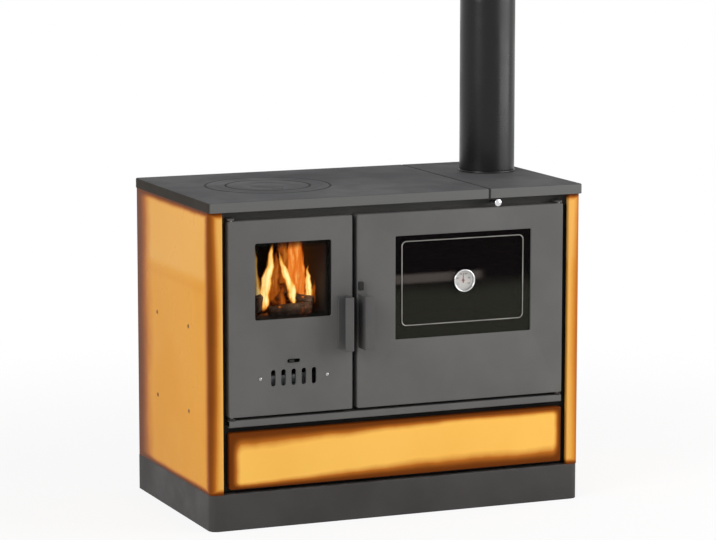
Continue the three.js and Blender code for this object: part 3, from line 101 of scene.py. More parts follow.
class Plane(Enum):
    """The plane that an outline is drawn in, and so the axis that its levels run along."""

    XY = (0, 1, 2)
    XZ = (0, 2, 1)
    YZ = (1, 2, 0)


def node_box(node: str) -> Box:
    """The lowest and highest corner of a frame node as arrays."""
    low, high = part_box(node)
    return np.array(low, float), np.array(high, float)


def round_node(node: str, plane: Plane = Plane.XY) -> tuple[Array, float, float, float]:
    """The measures of a round frame node.

    Args:
        node: The node's name.
        plane: The plane that its circles lie in.

    Returns:
        Its centre in the plane, its radius, its low level and its high one.
    """
    low, high = node_box(node)
    flat, third = list(plane.value[:2]), plane.value[2]
    radius = (high[flat[0]] - low[flat[0]]) / 2
    return (low[flat] + high[flat]) / 2, radius, low[third], high[third]


def in_plane(loop: Loop, level: float, plane: Plane) -> Array:
    """Lifts a flat outline into space, to a level along its plane's third axis."""
    columns = (loop[:, 0], loop[:, 1], np.full(len(loop), level))
    return np.stack([columns[place] for place in np.argsort(plane.value)], -1)


def rounded_loop(low: Sequence[float], high: Sequence[float], radii: Sequence[float],
                 grow: float = 0.0) -> Loop:
    """An outline of a rectangle with four rounded corners, at equal counts of points for any size.

    Each corner is a quarter circle: centre plus radius times (cos t, sin t), with t over 90 degrees.
    The straight sides get points in between, so that lofts between two outlines stay even.

    Args:
        low: Low corner.
        high: High corner.
        radii: Corner radii, from low-low round by high-low, high-high and low-high.
        grow: Distance to set the whole outline outwards.

    Returns:
        Points as an (n, 2) array, anticlockwise.
    """
    x0, y0, x1, y1 = low[0] - grow, low[1] - grow, high[0] + grow, high[1] + grow
    r = np.maximum(np.array(radii, float) + grow, 1e-5)
    centres = np.array([(x0 + r[0], y0 + r[0]), (x1 - r[1], y0 + r[1]),
                        (x1 - r[2], y1 - r[2]), (x0 + r[3], y1 - r[3])])
    turn = np.linspace(0, math.pi / 2, ARC_STEPS + 1)
    starts = np.array([math.pi, 1.5 * math.pi, 0, math.pi / 2])
    angles = starts[:, None] + turn[None, :]
    arcs = centres[:, None, :] + r[:, None, None] * np.stack([np.cos(angles), np.sin(angles)], -1)
    following = np.roll(arcs[:, 0, :], -1, axis=0)
    share = np.linspace(0, 1, ARC_STEPS + 2)[1:-1]
    sides = arcs[:, -1:, :] + share[None, :, None] * (following - arcs[:, -1, :])[:, None, :]
    return np.concatenate([arcs, sides], axis=1).reshape(-1, 2)


def circle_like(loop: Loop, centre: Array, radius: float) -> Loop:
    """A circle whose points lie at the same angles, seen from its centre, as those of an outline."""
    away = loop - centre
    return centre + radius * away / np.linalg.norm(away, axis=1, keepdims=True)


def round_over(radius: float, level: float, side: int, rising: bool) -> list[Pair]:
    """A quarter circle over an edge, as pairs of outward growth and level.

    Growth runs as -radius times (1 - sin t) and level as level + side * radius * (1 - cos t).

    Args:
        radius: Radius of the edge.
        level: Level of the flat face.
        side: Direction from the face into the body, +1 or -1.
        rising: True to start at the flat face, False to end there.

    Returns:
        Pairs of growth and level.
    """
    turn = np.linspace(0, math.pi / 2, ARC_STEPS + 1)
    pairs = [(-radius * (1 - math.sin(t)), level + side * radius * (1 - math.cos(t))) for t in turn]
    return pairs if rising else pairs[::-1]


def signed_volume(points: Array, faces: list[list[int]]) -> float:
    """The volume that faces enclose: a sixth of the sum of triple products over fans of triangles."""
    fans = np.array([(f[0], f[i], f[i + 1]) for f in faces for i in range(1, len(f) - 1)])
    return float(np.linalg.det(points[fans]).sum() / 6)


def new_piece(name: str, points: Array, faces: list[list[int]], smooth: bool = True) -> Piece:
    """Makes a mesh object at the origin from points and faces, with its faces turned outwards.

    Args:
        name: Name of the object.
        points: Vertices as an (n, 3) array.
        faces: Vertex numbers of each face.
        smooth: True to shade smoothly between sharp edges.

    Returns:
        The object.
    """
    if signed_volume(points, faces) < 0:
        faces = [face[::-1] for face in faces]
    mesh = bpy.data.meshes.new(name)
    mesh.from_pydata(points.tolist(), [], faces)
    mesh.validate()
    mesh.shade_smooth()
    if smooth:
        mesh.set_sharp_from_angle(angle=SHARP_ANGLE)
    else:
        mesh.shade_flat()
    piece = bpy.data.objects.new(name, mesh)
    bpy.context.scene.collection.objects.link(piece)
    return piece


def grid_faces(rows: int, columns: int, wrap_rows: bool) -> list[list[int]]:
    """Quads over a grid of vertices numbered row by row, whose last column joins the first.

    Args:
        rows: Number of rows.
        columns: Number of columns.
        wrap_rows: True to join the last row to the first.

    Returns:
        Vertex numbers of each quad.
    """
    places = np.meshgrid(np.arange(rows if wrap_rows else rows - 1), np.arange(columns), indexing="ij")
    i, j = (axis.ravel() for axis in places)
    below, beside = (i + 1) % rows, (j + 1) % columns
    quads = (i * columns + j, i * columns + beside, below * columns + beside, below * columns + j)
    return np.stack(quads, -1).tolist()


def lofted(name: str, loops: Sequence[Array], closed: bool = False) -> Piece:
    """A body through a series of closed outlines with equal counts of points.

    Args:
        name: Name of the piece.
        loops: Outlines as (n, 3) arrays.
        closed: True to join the last outline to the first, False to cap both.

    Returns:
        The piece.
    """
    rows, columns = len(loops), len(loops[0])
    faces = grid_faces(rows, columns, closed)
    if not closed:
        faces.append(list(range(columns))[::-1])
        faces.append(list(range((rows - 1) * columns, rows * columns)))
    return new_piece(name, np.concatenate(loops), faces)


def turned(name: str, profile: Sequence[Pair], centre: Sequence[float], plane: Plane,
           steps: int = ROUND_STEPS, closed: bool = False) -> Piece:
    """A profile of radius and level pairs revolved about an axis square to a plane.

    Args:
        name: Name of the piece.
        profile: Pairs of radius and level. An open one starts and ends in caps.
        centre: The axis in the plane's two coordinates.
        plane: The plane that the circles lie in.
        steps: Points round each circle.
        closed: True for a profile that closes on itself.

    Returns:
        The piece.
    """
    angle = np.linspace(0, 2 * math.pi, steps, endpoint=False)
    ring = np.stack([np.cos(angle), np.sin(angle)], -1)
    loops = [in_plane(np.array(centre) + max(radius, 1e-6) * ring, level, plane) for radius, level in profile]
    return lofted(name, loops, closed)


def folded_section(corners: Sequence[Pair], radii: Sequence[float], sheet: float,
                   side: int) -> Loop:
    """The closed section of a folded sheet, from the corners of its outside.

    At each bend the outside is an arc of the given radius and the inside an arc about the same centre,
    smaller by the thickness of the sheet.

    Args:
        corners: Corners of the outside, end to end.
        radii: Radius of each inner corner's bend.
        sheet: Thickness.
        side: +1 when the sheet lies to the left of its outside, -1 to the right.

    Returns:
        Points as an (n, 2) array.
    """
    points = [np.array(c, float) for c in corners]
    ways = [(b - a) / np.linalg.norm(b - a) for a, b in zip(points, points[1:])]
    lefts = [np.array([-w[1], w[0]]) * side for w in ways]
    outer, inner = [points[0]], [points[0] + sheet * lefts[0]]
    for corner, radius, before, after in zip(points[1:-1], radii, lefts, lefts[1:]):
        middle = before + after
        centre = corner + radius * middle / (1 + before @ after)
        start, end = math.atan2(-before[1], -before[0]), math.atan2(-after[1], -after[0])
        sweep = (end - start + math.pi) % (2 * math.pi) - math.pi
        angle = start + sweep * np.linspace(0, 1, 2 * ARC_STEPS + 1)
        arc = np.stack([np.cos(angle), np.sin(angle)], -1)
        outer.extend(centre + radius * arc)
        inner.extend(centre + (radius - sheet) * arc)
    outer.append(points[-1])
    inner.append(points[-1] + sheet * lefts[-1])
    return np.array(outer + inner[::-1])


def extruded(name: str, section: Loop, low: float, high: float, plane: Plane) -> Piece:
    """A section carried straight along the axis square to its plane, with capped ends."""
    return lofted(name, [in_plane(section, low, plane), in_plane(section, high, plane)])


def joined(name: str, pieces: Sequence[Piece]) -> Piece:
    """Joins several mesh objects into one and renames it.

    Args:
        name: Name of the result.
        pieces: The objects, which are used up.

    Returns:
        The joined object.
    """
    points, faces, first = [], [], 0
    for piece in pieces:
        mesh = piece.data
        place = np.empty(len(mesh.vertices) * 3)
        mesh.vertices.foreach_get("co", place)
        points.append(place.reshape(-1, 3))
        faces += [[first + v for v in polygon.vertices] for polygon in mesh.polygons]
        first += len(mesh.vertices)
        bpy.data.objects.remove(piece)
    return new_piece(name, np.concatenate(points), faces)


def cut(piece: Piece, cutters: Sequence[Piece]) -> Piece:
    """Cuts bodies out of a piece and keeps the result as its mesh.

    Args:
        piece: The piece to cut.
        cutters: Closed bodies, which are used up.

    Returns:
        The piece.
    """
    tool = joined(piece.name + "_cutter", cutters)
    modifier = piece.modifiers.new("cut", "BOOLEAN")
    modifier.operation = "DIFFERENCE"
    modifier.solver = "EXACT"
    modifier.object = tool
    graph = bpy.context.evaluated_depsgraph_get()
    mesh = bpy.data.meshes.new_from_object(piece.evaluated_get(graph))
    piece.modifiers.clear()
    piece.data = mesh
    mesh.set_sharp_from_angle(angle=SHARP_ANGLE)
    bpy.data.objects.remove(tool)
    return piece


def dress(piece: Piece, finish: Material) -> None:
    """Gives an object its one material."""
    piece.data.materials.clear()
    piece.data.materials.append(finish)


def mount(piece: Piece, body: str, finish: Material,
          nodes: Sequence[str] = ()) -> Piece:
    """Dresses a piece, sets it on its body and lets it stand for frame nodes.

    Args:
        piece: The piece.
        body: The body that it moves with.
        finish: Its material.
        nodes: The frame nodes that it replaces.

    Returns:
        The piece.
    """
    dress(piece, finish)
    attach(piece, body)
    if nodes:
        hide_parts(*nodes)
    LOG.info("%s rides on %s", piece.name, body)
    return piece


# -------- shader groups


class Graph:
    """A node tree with short ways to add nodes and links."""

    def __init__(self, tree: bpy.types.NodeTree) -> None:
        """Keeps the tree."""
        self.tree = tree

    def add(self, kind: str, **settings: Any) -> bpy.types.Node:
        """Adds a node and sets its properties.

        Args:
            kind: The node's type name.
            **settings: Properties of the node.

        Returns:
            The node.
        """
        node = self.tree.nodes.new(kind)
        for key, value in settings.items():
            setattr(node, key, value)
        return node

    def link(self, source: Socket, target: Socket) -> None:
        """Links an output to an input."""
        self.tree.links.new(source, target)

    def feed(self, target: Socket, value: Any) -> None:
        """Links a socket to an input, or writes a plain value on it."""
        if isinstance(value, Socket):
            self.link(value, target)
        else:
            target.default_value = value

    def split(self, vector: Socket) -> Any:
        """The X, Y and Z of a vector as three sockets."""
        parts = self.add("ShaderNodeSeparateXYZ")
        self.link(vector, parts.inputs[0])
        return parts.outputs

    def math(self, operation: str, *values: Any, clamp: bool = False) -> Socket:
        """A Math node over sockets or numbers.

        Args:
            operation: Name of the operation.
            *values: Its inputs.
            clamp: True to hold the result between 0 and 1.

        Returns:
            Its output.
        """
        node = self.add("ShaderNodeMath", operation=operation, use_clamp=clamp)
        for target, value in zip(node.inputs, values):
            self.feed(target, value)
        return node.outputs[0]

    def apart(self, first: Any, second: Any) -> Socket:
        """The distance between two values."""
        return self.math("ABSOLUTE", self.math("SUBTRACT", first, second))

    def spread(self, value: Any, low: Any, high: Any, to_low: Any = 0.0, to_high: Any = 1.0,
               smooth: bool = False) -> Socket:
        """A Map Range node, clamped.

        Args:
            value: Its input.
            low: Input that gives to_low.
            high: Input that gives to_high.
            to_low: Output at low.
            to_high: Output at high.
            smooth: True for a smooth step.

        Returns:
            Its output.
        """
        node = self.add("ShaderNodeMapRange", interpolation_type="SMOOTHSTEP" if smooth else "LINEAR")
        self.feed(node.inputs["Value"], value)
        for key, number in zip(("From Min", "From Max", "To Min", "To Max"), (low, high, to_low, to_high)):
            self.feed(node.inputs[key], number)
        return node.outputs["Result"]

    def mix(self, share: Any, first: Any, second: Any) -> Socket:
        """A colour Mix node.

        Args:
            share: How much of the second colour shows.
            first: First colour.
            second: Second colour.

        Returns:
            Its output.
        """
        node = self.add("ShaderNodeMix", data_type="RGBA")
        sockets = {(socket.name, socket.type): socket for socket in node.inputs}
        self.feed(sockets["Factor", "VALUE"], share)
        self.feed(sockets["A", "RGBA"], first)
        self.feed(sockets["B", "RGBA"], second)
        return [socket for socket in node.outputs if socket.type == "RGBA"][0]

    def noise(self, scale: Any, detail: float = 4.0, rough: float = 0.5, stretch: Sequence[float] = (1, 1, 1),
              seed: Sequence[float] = (0, 0, 0)) -> Socket:
        """Noise over the object's own coordinates.

        Args:
            scale: Scale of the noise, per metre.
            detail: Number of octaves.
            rough: Share of the finer octaves.
            stretch: Scale along each axis.
            seed: Shift of the pattern.

        Returns:
            Its value, about 0.5.
        """
        coordinates = self.add("ShaderNodeTexCoord")
        mapping = self.add("ShaderNodeMapping")
        mapping.inputs["Scale"].default_value = tuple(stretch)
        mapping.inputs["Location"].default_value = tuple(seed)
        self.link(coordinates.outputs["Object"], mapping.inputs["Vector"])
        node = self.add("ShaderNodeTexNoise")
        self.link(mapping.outputs["Vector"], node.inputs["Vector"])
        self.feed(node.inputs["Scale"], scale)
        node.inputs["Detail"].default_value = detail
        node.inputs["Roughness"].default_value = rough
        return node.outputs["Fac"]


def new_group(name: str, inputs: dict[str, float], outputs: Sequence[str]) -> tuple[Graph, Any, Any]:
    """Starts a shader group with named value sockets.

    Args:
        name: Name of the group.
        inputs: Name and default of each value input.
        outputs: Name of each value output.

    Returns:
        The group's graph, its input node's outputs and its output node's inputs.
    """
    tree = bpy.data.node_groups.new(name, "ShaderNodeTree")
    for title, value in inputs.items():
        socket = tree.interface.new_socket(title, in_out="INPUT", socket_type="NodeSocketFloat")
        socket.default_value = value
    for title in outputs:
        tree.interface.new_socket(title, in_out="OUTPUT", socket_type="NodeSocketFloat")
    graph = Graph(tree)
    return graph, graph.add("NodeGroupInput").outputs, graph.add("NodeGroupOutput").inputs


def grain_group() -> None:
    """Grain of a painted or cast surface: fine pits for the bump and broad clouds for colour and gloss."""
    graph, given, result = new_group(GRAIN_GROUP, {"Scale": 900.0, "Cloud Scale": 6.0},
                                     ["Height", "Cloud", "Speck"])
    fine = graph.noise(given["Scale"], 3.0, 0.65)
    cloud = graph.noise(given["Cloud Scale"], 5.0, 0.55, seed=(3.1, 1.7, 0.4))
    graph.link(fine, result["Height"])
    graph.link(graph.spread(cloud, 0.32, 0.68, smooth=True), result["Cloud"])
    graph.link(graph.spread(fine, 0.58, 0.72), result["Speck"])


def band_group() -> None:
    """A band along an edge: 1 at no distance from it, 0 a width away, with an uneven limit."""
    graph, given, result = new_group(BAND_GROUP, {"Distance": 0.0, "Width": 0.03, "Waver": 0.4}, ["Mask"])
    waver = graph.math("MULTIPLY", graph.math("SUBTRACT", graph.noise(9.0, 4.0, 0.55), 0.5), given["Waver"])
    limit = graph.math("MULTIPLY", given["Width"], graph.math("ADD", waver, 1.0))
    share = graph.math("DIVIDE", given["Distance"], limit, clamp=True)
    graph.link(graph.spread(share, 0.0, 1.0, 1.0, 0.0, smooth=True), result["Mask"])


def dust_group() -> None:
    """Fine dust that lies on faces turned up, broken by noise."""
    graph, given, result = new_group(DUST_GROUP, {"Amount": 0.3}, ["Mask"])
    normal = graph.split(graph.add("ShaderNodeNewGeometry").outputs["Normal"])
    up = graph.spread(normal["Z"], 0.4, 0.95, smooth=True)
    patch = graph.spread(graph.noise(35.0, 6.0, 0.7, seed=(0.2, 5.0, 1.0)), 0.4, 0.7)
    graph.link(graph.math("MULTIPLY", graph.math("MULTIPLY", up, patch), given["Amount"]), result["Mask"])


# -------- finishes


def screen(red: float, green: float, blue: float) -> Colour:
    """The linear colour of an 8-bit screen colour: ((c + 0.055) / 1.055) ** 2.4, or c / 12.92 when dark."""
    share = np.array([red, green, blue]) / 255
    linear = np.where(share > 0.04045, ((share + 0.055) / 1.055) ** 2.4, share / 12.92)
    return (*map(float, linear), 1.0)


def toned(colour: Colour, scale: Any, lift: Any = 0.0) -> Colour:
    """A colour with its channels scaled and lifted, and held at 1 at most."""
    channels = np.minimum(np.array(colour[:3]) * scale + lift, 1.0)
    return (*map(float, channels), 1.0)


WHITE = screen(255, 255, 255)
DUST = screen(176, 170, 160)
# Browns of the enamel's edges, partly spray and partly painted shade.
LIGHT_BROWN = screen(192, 112, 38)
DEEP_BROWN = screen(104, 50, 12)
BRICK = (screen(72, 56, 44), screen(48, 38, 31))
ROPE = (screen(176, 170, 156), screen(112, 104, 92))

# The brown on a side panel's front fold, partly spray and partly painted shade, is widest at its middle level
# and narrows over a run up and down.
FOLD_MIDDLE = 0.47
FOLD_RUN = (0.10, 0.32)
FOLD_WIDTHS = (0.038, 0.027)
FOLD_DEPTH = 0.052
# Painted highlight on a side panel's front strip: it rises between these distances in from the outer corner.
STRIP_LIGHT = (0.014, 0.034)


class Shader(Graph):
    """A new material: its principled shader and short ways to set and feed it."""

    def __init__(self, name: str, **settings: Any) -> None:
        """Makes the material.

        Args:
            name: Its name.
            **settings: Plain values of the principled shader, with underscores for spaces.
        """
        self.material = bpy.data.materials.new(name)
        self.material.use_nodes = True
        super().__init__(self.material.node_tree)
        self.tree.nodes.clear()
        self.surface = self.add("ShaderNodeBsdfPrincipled")
        self.output = self.add("ShaderNodeOutputMaterial")
        self.link(self.surface.outputs[0], self.output.inputs["Surface"])
        for key, value in settings.items():
            self.surface.inputs[key.replace("_", " ")].default_value = value

    def place(self, group: str, **values: Any) -> Any:
        """Places a shader group by its name with its own values, and returns its outputs."""
        node = self.add("ShaderNodeGroup", node_tree=bpy.data.node_groups[group])
        for key, value in values.items():
            self.feed(node.inputs[key.replace("_", " ")], value)
        return node.outputs

    def paint(self, **sources: Socket) -> None:
        """Links sources to the principled shader's inputs, named with underscores for spaces."""
        for key, source in sources.items():
            self.link(source, self.surface.inputs[key.replace("_", " ")])

    def bump(self, height: Socket, distance: float) -> None:
        """Feeds a bump to the shader's normal.

        Args:
            height: Its height, in units of the distance.
            distance: That distance in metres.
        """
        node = self.add("ShaderNodeBump")
        node.inputs["Distance"].default_value = distance
        self.link(height, node.inputs["Height"])
        self.paint(Normal=node.outputs["Normal"])

    def axes(self) -> Any:
        """The object's own X, Y and Z as three sockets."""
        return self.split(self.add("ShaderNodeTexCoord").outputs["Object"])


@dataclass(frozen=True)
class Coating:
    """Paint, cast iron or sheet metal: fine grain, slow clouds of tone and gloss, settled dust.

    Attributes:
        name: Name of the material.
        colour: Main colour.
        cloud: Colour that the clouds lean to.
        roughness: Middle roughness.
        metallic: Share of metal.
        grain: Grains per metre.
        relief: Height of the grain in metres.
        cloud_scale: Clouds per metre.
        gloss_swing: How far the clouds move the roughness.
        dust: Amount of dust on faces turned up.
        speck: How much the grain's peaks lighten the colour.
        shine: Specular level.
        upper: Colour above a level, if the piece has a second one.
        upper_level: Level from which the second colour shows.
        blur: Half the height over which the two colours meet.
    """

    name: str
    colour: Colour
    cloud: Colour
    roughness: float
    metallic: float = 0.0
    grain: float = 900.0
    relief: float = 0.00006
    cloud_scale: float = 5.0
    gloss_swing: float = 0.08
    dust: float = 0.12
    speck: float = 0.12
    shine: float = 0.25
    upper: Colour | None = None
    upper_level: float = 0.0
    blur: float = 0.001

    def build(self) -> Material:
        """Makes the material.

        Returns:
            The material.
        """
        shader = Shader(self.name, Metallic=self.metallic, Specular_IOR_Level=self.shine)
        grain = shader.place(GRAIN_GROUP, Scale=self.grain, Cloud_Scale=self.cloud_scale)
        dust = shader.place(DUST_GROUP, Amount=self.dust)["Mask"]
        tone = shader.mix(grain["Cloud"], self.colour, self.cloud)
        if self.upper:
            levels = (self.upper_level - self.blur, self.upper_level + self.blur)
            tone = shader.mix(shader.spread(shader.axes()["Z"], *levels), tone, self.upper)
        pale = toned(self.colour, 1.8, 0.03)
        tone = shader.mix(shader.math("MULTIPLY", grain["Speck"], self.speck), tone, pale)
        swing = (self.roughness - self.gloss_swing, self.roughness + self.gloss_swing)
        rough = shader.math("ADD", shader.spread(grain["Cloud"], 0, 1, *swing),
                            shader.math("MULTIPLY", dust, 0.4), clamp=True)
        shader.paint(Base_Color=shader.mix(dust, tone, DUST), Roughness=rough)
        shader.bump(grain["Height"], self.relief)
        return shader.material


@dataclass(frozen=True)
class HobIron:
    """Blacked cast iron of the cooking top: painted light on its front and back faces, painted shade on its
    sides, soot in the joints.

    Attributes:
        centre: Centre of the rings as (x, y).
        joints: Radii of the round joints.
        seam: Place of the seam between the castings on X.
        name: Name of the material.
        soot_reach: Distances from a joint at which the soot starts to thin out and ends.
    """

    centre: Pair
    joints: tuple[float, ...]
    seam: float
    name: str = "hob_iron"
    soot_reach: Pair = (0.0016, 0.0052)

    def sooted(self, shader: Shader) -> Socket:
        """How much soot lies on each place: a thin band along every joint.

        Args:
            shader: The material.

        Returns:
            The share of soot.
        """
        places = shader.axes()
        squares = [shader.math("POWER", shader.math("SUBTRACT", places[axis], self.centre[axis]), 2.0)
                   for axis in range(2)]
        radius = shader.math("SQRT", shader.math("ADD", *squares))
        away = shader.apart(places["X"], self.seam)
        for joint in self.joints:
            away = shader.math("MINIMUM", away, shader.apart(radius, joint))
        return shader.spread(away, *self.soot_reach, 0.8, 0.0, smooth=True)

    def build(self) -> Material:
        """Makes the material.

        Returns:
            The material.
        """
        shader = Shader(self.name, Specular_IOR_Level=0.12)
        grain = shader.place(GRAIN_GROUP, Scale=520.0, Cloud_Scale=6.0)
        faces = shader.split(shader.add("ShaderNodeNewGeometry").outputs["Normal"])
        tone = shader.mix(grain["Cloud"], screen(87, 87, 88), screen(78, 78, 80))
        tone = shader.mix(shader.math("MULTIPLY", grain["Speck"], 0.25), tone, screen(126, 126, 128))
        # Painted light and shade by face direction: faces turned along Y lighter, faces turned along X
        # darker.
        for axis, colour in (("Y", screen(101, 101, 99)), ("X", screen(50, 45, 40))):
            tone = shader.mix(shader.spread(shader.math("ABSOLUTE", faces[axis]), 0.55, 0.9), tone, colour)
        shader.paint(Base_Color=shader.mix(self.sooted(shader), tone, screen(34, 33, 33)),
                     Roughness=shader.spread(grain["Cloud"], 0, 1, 0.66, 0.78))
        shader.bump(grain["Height"], 0.00012)
        return shader.material


@dataclass(frozen=True)
class Band:
    """Brown along one edge of a panel, partly spray and partly painted shade, whose width may change along X.

    Attributes:
        axis: The axis that the edge's distance is measured along.
        edge: Place of the edge on that axis.
        inward: Direction into the panel, +1 or -1.
        width: Width of the band, or its width at the low end of X.
        far_width: Its width at the high end of X, where that differs.
    """

    axis: int
    edge: float
    inward: int
    width: float
    far_width: float | None = None


@dataclass(frozen=True)
class SprayedEnamel:
    """Amber enamel, browner towards the edges of its panel, partly sprayed and partly painted shade, with a
    hard gloss.

    Attributes:
        name: Name of the material.
        amber: Colour of the middle.
        bands: The brown bands.
        reach: Low and high end of X over which the bands change.
        corner: The outer front corner as (x, y) from which a side panel's fold is brown, or None.
        fold: How brown the fold is; its brown is partly spray and partly painted shade.
        pale_above: Level above which a painted reflection makes the enamel paler, or None.
    """

    name: str
    amber: Colour
    bands: tuple[Band, ...]
    reach: Pair = (-0.4, 0.15)
    corner: Pair | None = None
    fold: float = 1.0
    pale_above: float | None = None

    def sprayed(self, shader: Shader) -> Socket:
        """How brown each place is, by spray and painted shade: the bands together, as 1 less the product of
        what each leaves.

        Args:
            shader: The material.

        Returns:
            The share of brown.
        """
        places = shader.axes()
        left = None
        for band in self.bands:
            away = shader.math("SUBTRACT", places[band.axis], band.edge)
            away = shader.math("MULTIPLY", away, float(band.inward))
            width = band.width
            if band.far_width is not None:
                width = shader.spread(places["X"], *self.reach, band.width, band.far_width)
            mask = shader.place(BAND_GROUP, Distance=away, Width=width, Waver=0.5)["Mask"]
            rest = shader.math("SUBTRACT", 1.0, mask)
            left = rest if left is None else shader.math("MULTIPLY", left, rest)
        brown = shader.math("SUBTRACT", 1.0, left)
        if self.corner is None:
            return brown
        return shader.math("MAXIMUM", brown, self.folded(shader, places))

    def folded(self, shader: Shader, places: Any) -> Socket:
        """How brown the rounded front edge of a side panel is, partly spray and partly painted shade: less
        inwards and back along the side.

        Args:
            shader: The material.
            places: The object's own X, Y and Z.

        Returns:
            The share of brown.
        """
        across, along = self.from_corner(shader, places)
        width = shader.spread(shader.apart(places["Z"], FOLD_MIDDLE), *FOLD_RUN, *FOLD_WIDTHS)
        away = shader.math("ADD", shader.math("DIVIDE", across, width),
                           shader.math("DIVIDE", along, FOLD_DEPTH))
        mask = shader.place(BAND_GROUP, Distance=away, Width=1.0, Waver=0.3)["Mask"]
        return shader.math("MULTIPLY", mask, self.fold)

    def from_corner(self, shader: Shader, places: Any) -> tuple[Socket, Socket]:
        """The distances from the outer front corner, inwards and back."""
        across = shader.math("SUBTRACT", abs(self.corner[0]), shader.math("ABSOLUTE", places["X"]))
        return across, shader.math("SUBTRACT", places["Y"], self.corner[1])

    def lit_strip(self, shader: Shader) -> Socket:
        """Share of the painted highlight on a side panel's front strip: more towards its inner edge."""
        across, along = self.from_corner(shader, shader.axes())
        front = shader.spread(along, 0.0, 0.004, 1.0, 0.0)
        return shader.math("MULTIPLY", shader.spread(across, *STRIP_LIGHT, 0.0, 0.9), front)

    def lightened(self, shader: Shader, tone: Socket, deeper: Colour) -> Socket:
        """A side panel's amber with painted light: a painted reflection, as a deeper line under the level
        where it turns pale and the pale part above, and the front strip's painted highlight.

        Args:
            shader: The material.
            tone: The amber without them.
            deeper: Colour of the line.

        Returns:
            The amber with them.
        """
        pale = toned(self.amber, (1.05, 1.16, 1.3), (0.02, 0.03, 0.05))
        height = shader.math("SUBTRACT", shader.axes()["Z"], self.pale_above)
        line = shader.apart(height, -0.024)
        tone = shader.mix(shader.spread(line, 0.0, 0.020, 0.55, 0.0, smooth=True), tone, deeper)
        above = shader.spread(height, -0.012, 0.016, 0.0, 0.75, smooth=True)
        return shader.mix(shader.math("MAXIMUM", above, self.lit_strip(shader)), tone, pale)

    def build(self) -> Material:
        """Makes the material.

        Returns:
            The material.
        """
        shader = Shader(self.name, Specular_IOR_Level=0.03)
        grain = shader.place(GRAIN_GROUP, Scale=700.0, Cloud_Scale=3.5)
        brown = self.sprayed(shader)
        deeper = toned(self.amber, (0.94, 0.87, 0.74))
        tone = shader.mix(shader.math("MULTIPLY", grain["Cloud"], 0.5), self.amber, deeper)
        # Painted reflection on the side panels: a deeper line and paler enamel above a level, with the front
        # strip's painted highlight.
        if self.pale_above is not None:
            tone = self.lightened(shader, tone, deeper)
        # Brown towards the edges, partly spray and partly painted shade.
        tone = shader.mix(shader.spread(brown, 0.05, 0.55), tone, LIGHT_BROWN)
        tone = shader.mix(shader.spread(brown, 0.35, 1.0, smooth=True), tone, DEEP_BROWN)
        shader.paint(Base_Color=tone, Roughness=shader.spread(grain["Cloud"], 0, 1, 0.26, 0.36))
        shader.bump(grain["Height"], 0.00002)
        return shader.material


@dataclass(frozen=True)
class Brightwork:
    """Polished or brushed metal with faint scratches and smears.

    Attributes:
        name: Name of the material.
        colour: Colour of the metal.
        roughness: Lowest roughness.
        brush: Stretch of the scratches along X, Y and Z.
    """

    name: str
    colour: Colour
    roughness: float
    brush: Point = (1, 1, 1)

    def build(self) -> Material:
        """Makes the material.

        Returns:
            The material.
        """
        shader = Shader(self.name, Metallic=1.0)
        grain = shader.place(GRAIN_GROUP, Scale=500.0, Cloud_Scale=18.0)
        scratch = shader.noise(700.0, 2.0, 0.6, self.brush)
        rough = shader.math("ADD", shader.spread(scratch, 0.3, 0.7, 0.0, 0.12), self.roughness)
        tone = shader.mix(grain["Cloud"], self.colour, toned(self.colour, 0.72))
        shader.paint(Base_Color=tone, Roughness=rough)
        shader.bump(scratch, 0.00001)
        return shader.material


@dataclass(frozen=True)
class Pane:
    """Glass that shows what is behind it through a tint, with faint smears and another colour below a level,
    a painted reflection on the oven's pane.

    Attributes:
        name: Name of the material.
        tint: Colour of the glass.
        smoke: Colour of its lower part, a painted reflection on the oven's pane.
        cover: Share of light that the tint holds back.
        sooty: How much soot gathers towards the edges.
        low: Low corner of the clear part.
        high: High corner of the clear part.
        film_level: Level below which the lower colour shows.
        glint: Colour of the painted highlight, a pale streak across the lower colour's top, if there is one.
        haze_level: Middle level of the streak.
        haze_end: Place on X where the streak fades out.
        blend: Half the height over which the lower colour fades in, and the length of the streak's fade.
        shine: Specular level.
    """

    name: str
    tint: Colour
    smoke: Colour
    cover: float
    sooty: float
    low: Array
    high: Array
    film_level: float
    haze: Colour | None = None
    haze_level: float = 0.0
    haze_end: float = 0.0
    blend: float = 0.03
    shine: float = 0.04

    def streak(self, shader: Shader, places: Any) -> Socket:
        """How much of the painted highlight's pale streak shows at each place."""
        off = shader.apart(places["Z"], self.haze_level)
        along = shader.spread(places["X"], self.haze_end - self.blend, self.haze_end, 1.0, 0.0, smooth=True)
        return shader.math("MULTIPLY", shader.spread(off, 0.006, 0.017, 1.0, 0.0, smooth=True), along)

    def build(self) -> Material:
        """Makes the material.

        Returns:
            The material.
        """
        shader = Shader(self.name, Specular_IOR_Level=self.shine)
        places = shader.axes()
        edges = ((self.high[0], places["X"]), (places["Z"], self.low[2]), (self.high[2], places["Z"]))
        nearest = shader.math("SUBTRACT", places["X"], self.low[0])
        for edge in edges:
            nearest = shader.math("MINIMUM", nearest, shader.math("SUBTRACT", *edge))
        soot = shader.place(BAND_GROUP, Distance=nearest, Width=0.022, Waver=1.2)["Mask"]
        smear = shader.spread(shader.noise(22.0, 5.0, 0.65, (1, 1, 0.25)), 0.45, 0.8)
        # The lower colour below a level: on the oven's pane a painted reflection.
        levels = (self.film_level - self.blend, self.film_level + self.blend)
        tone = shader.mix(shader.spread(places["Z"], *levels, 1.0, 0.0, smooth=True), self.tint, self.smoke)
        # Painted highlight: a pale streak across the top of the lower colour.
        if self.haze:
            tone = shader.mix(self.streak(shader, places), tone, self.haze)
        held = shader.math("ADD", shader.math("MULTIPLY", soot, self.sooty), self.cover)
        held = shader.math("ADD", held, shader.math("MULTIPLY", smear, 0.05), clamp=True)
        shader.paint(Base_Color=tone, Alpha=held, Roughness=shader.spread(smear, 0, 1, 0.02, 0.08))
        return shader.material


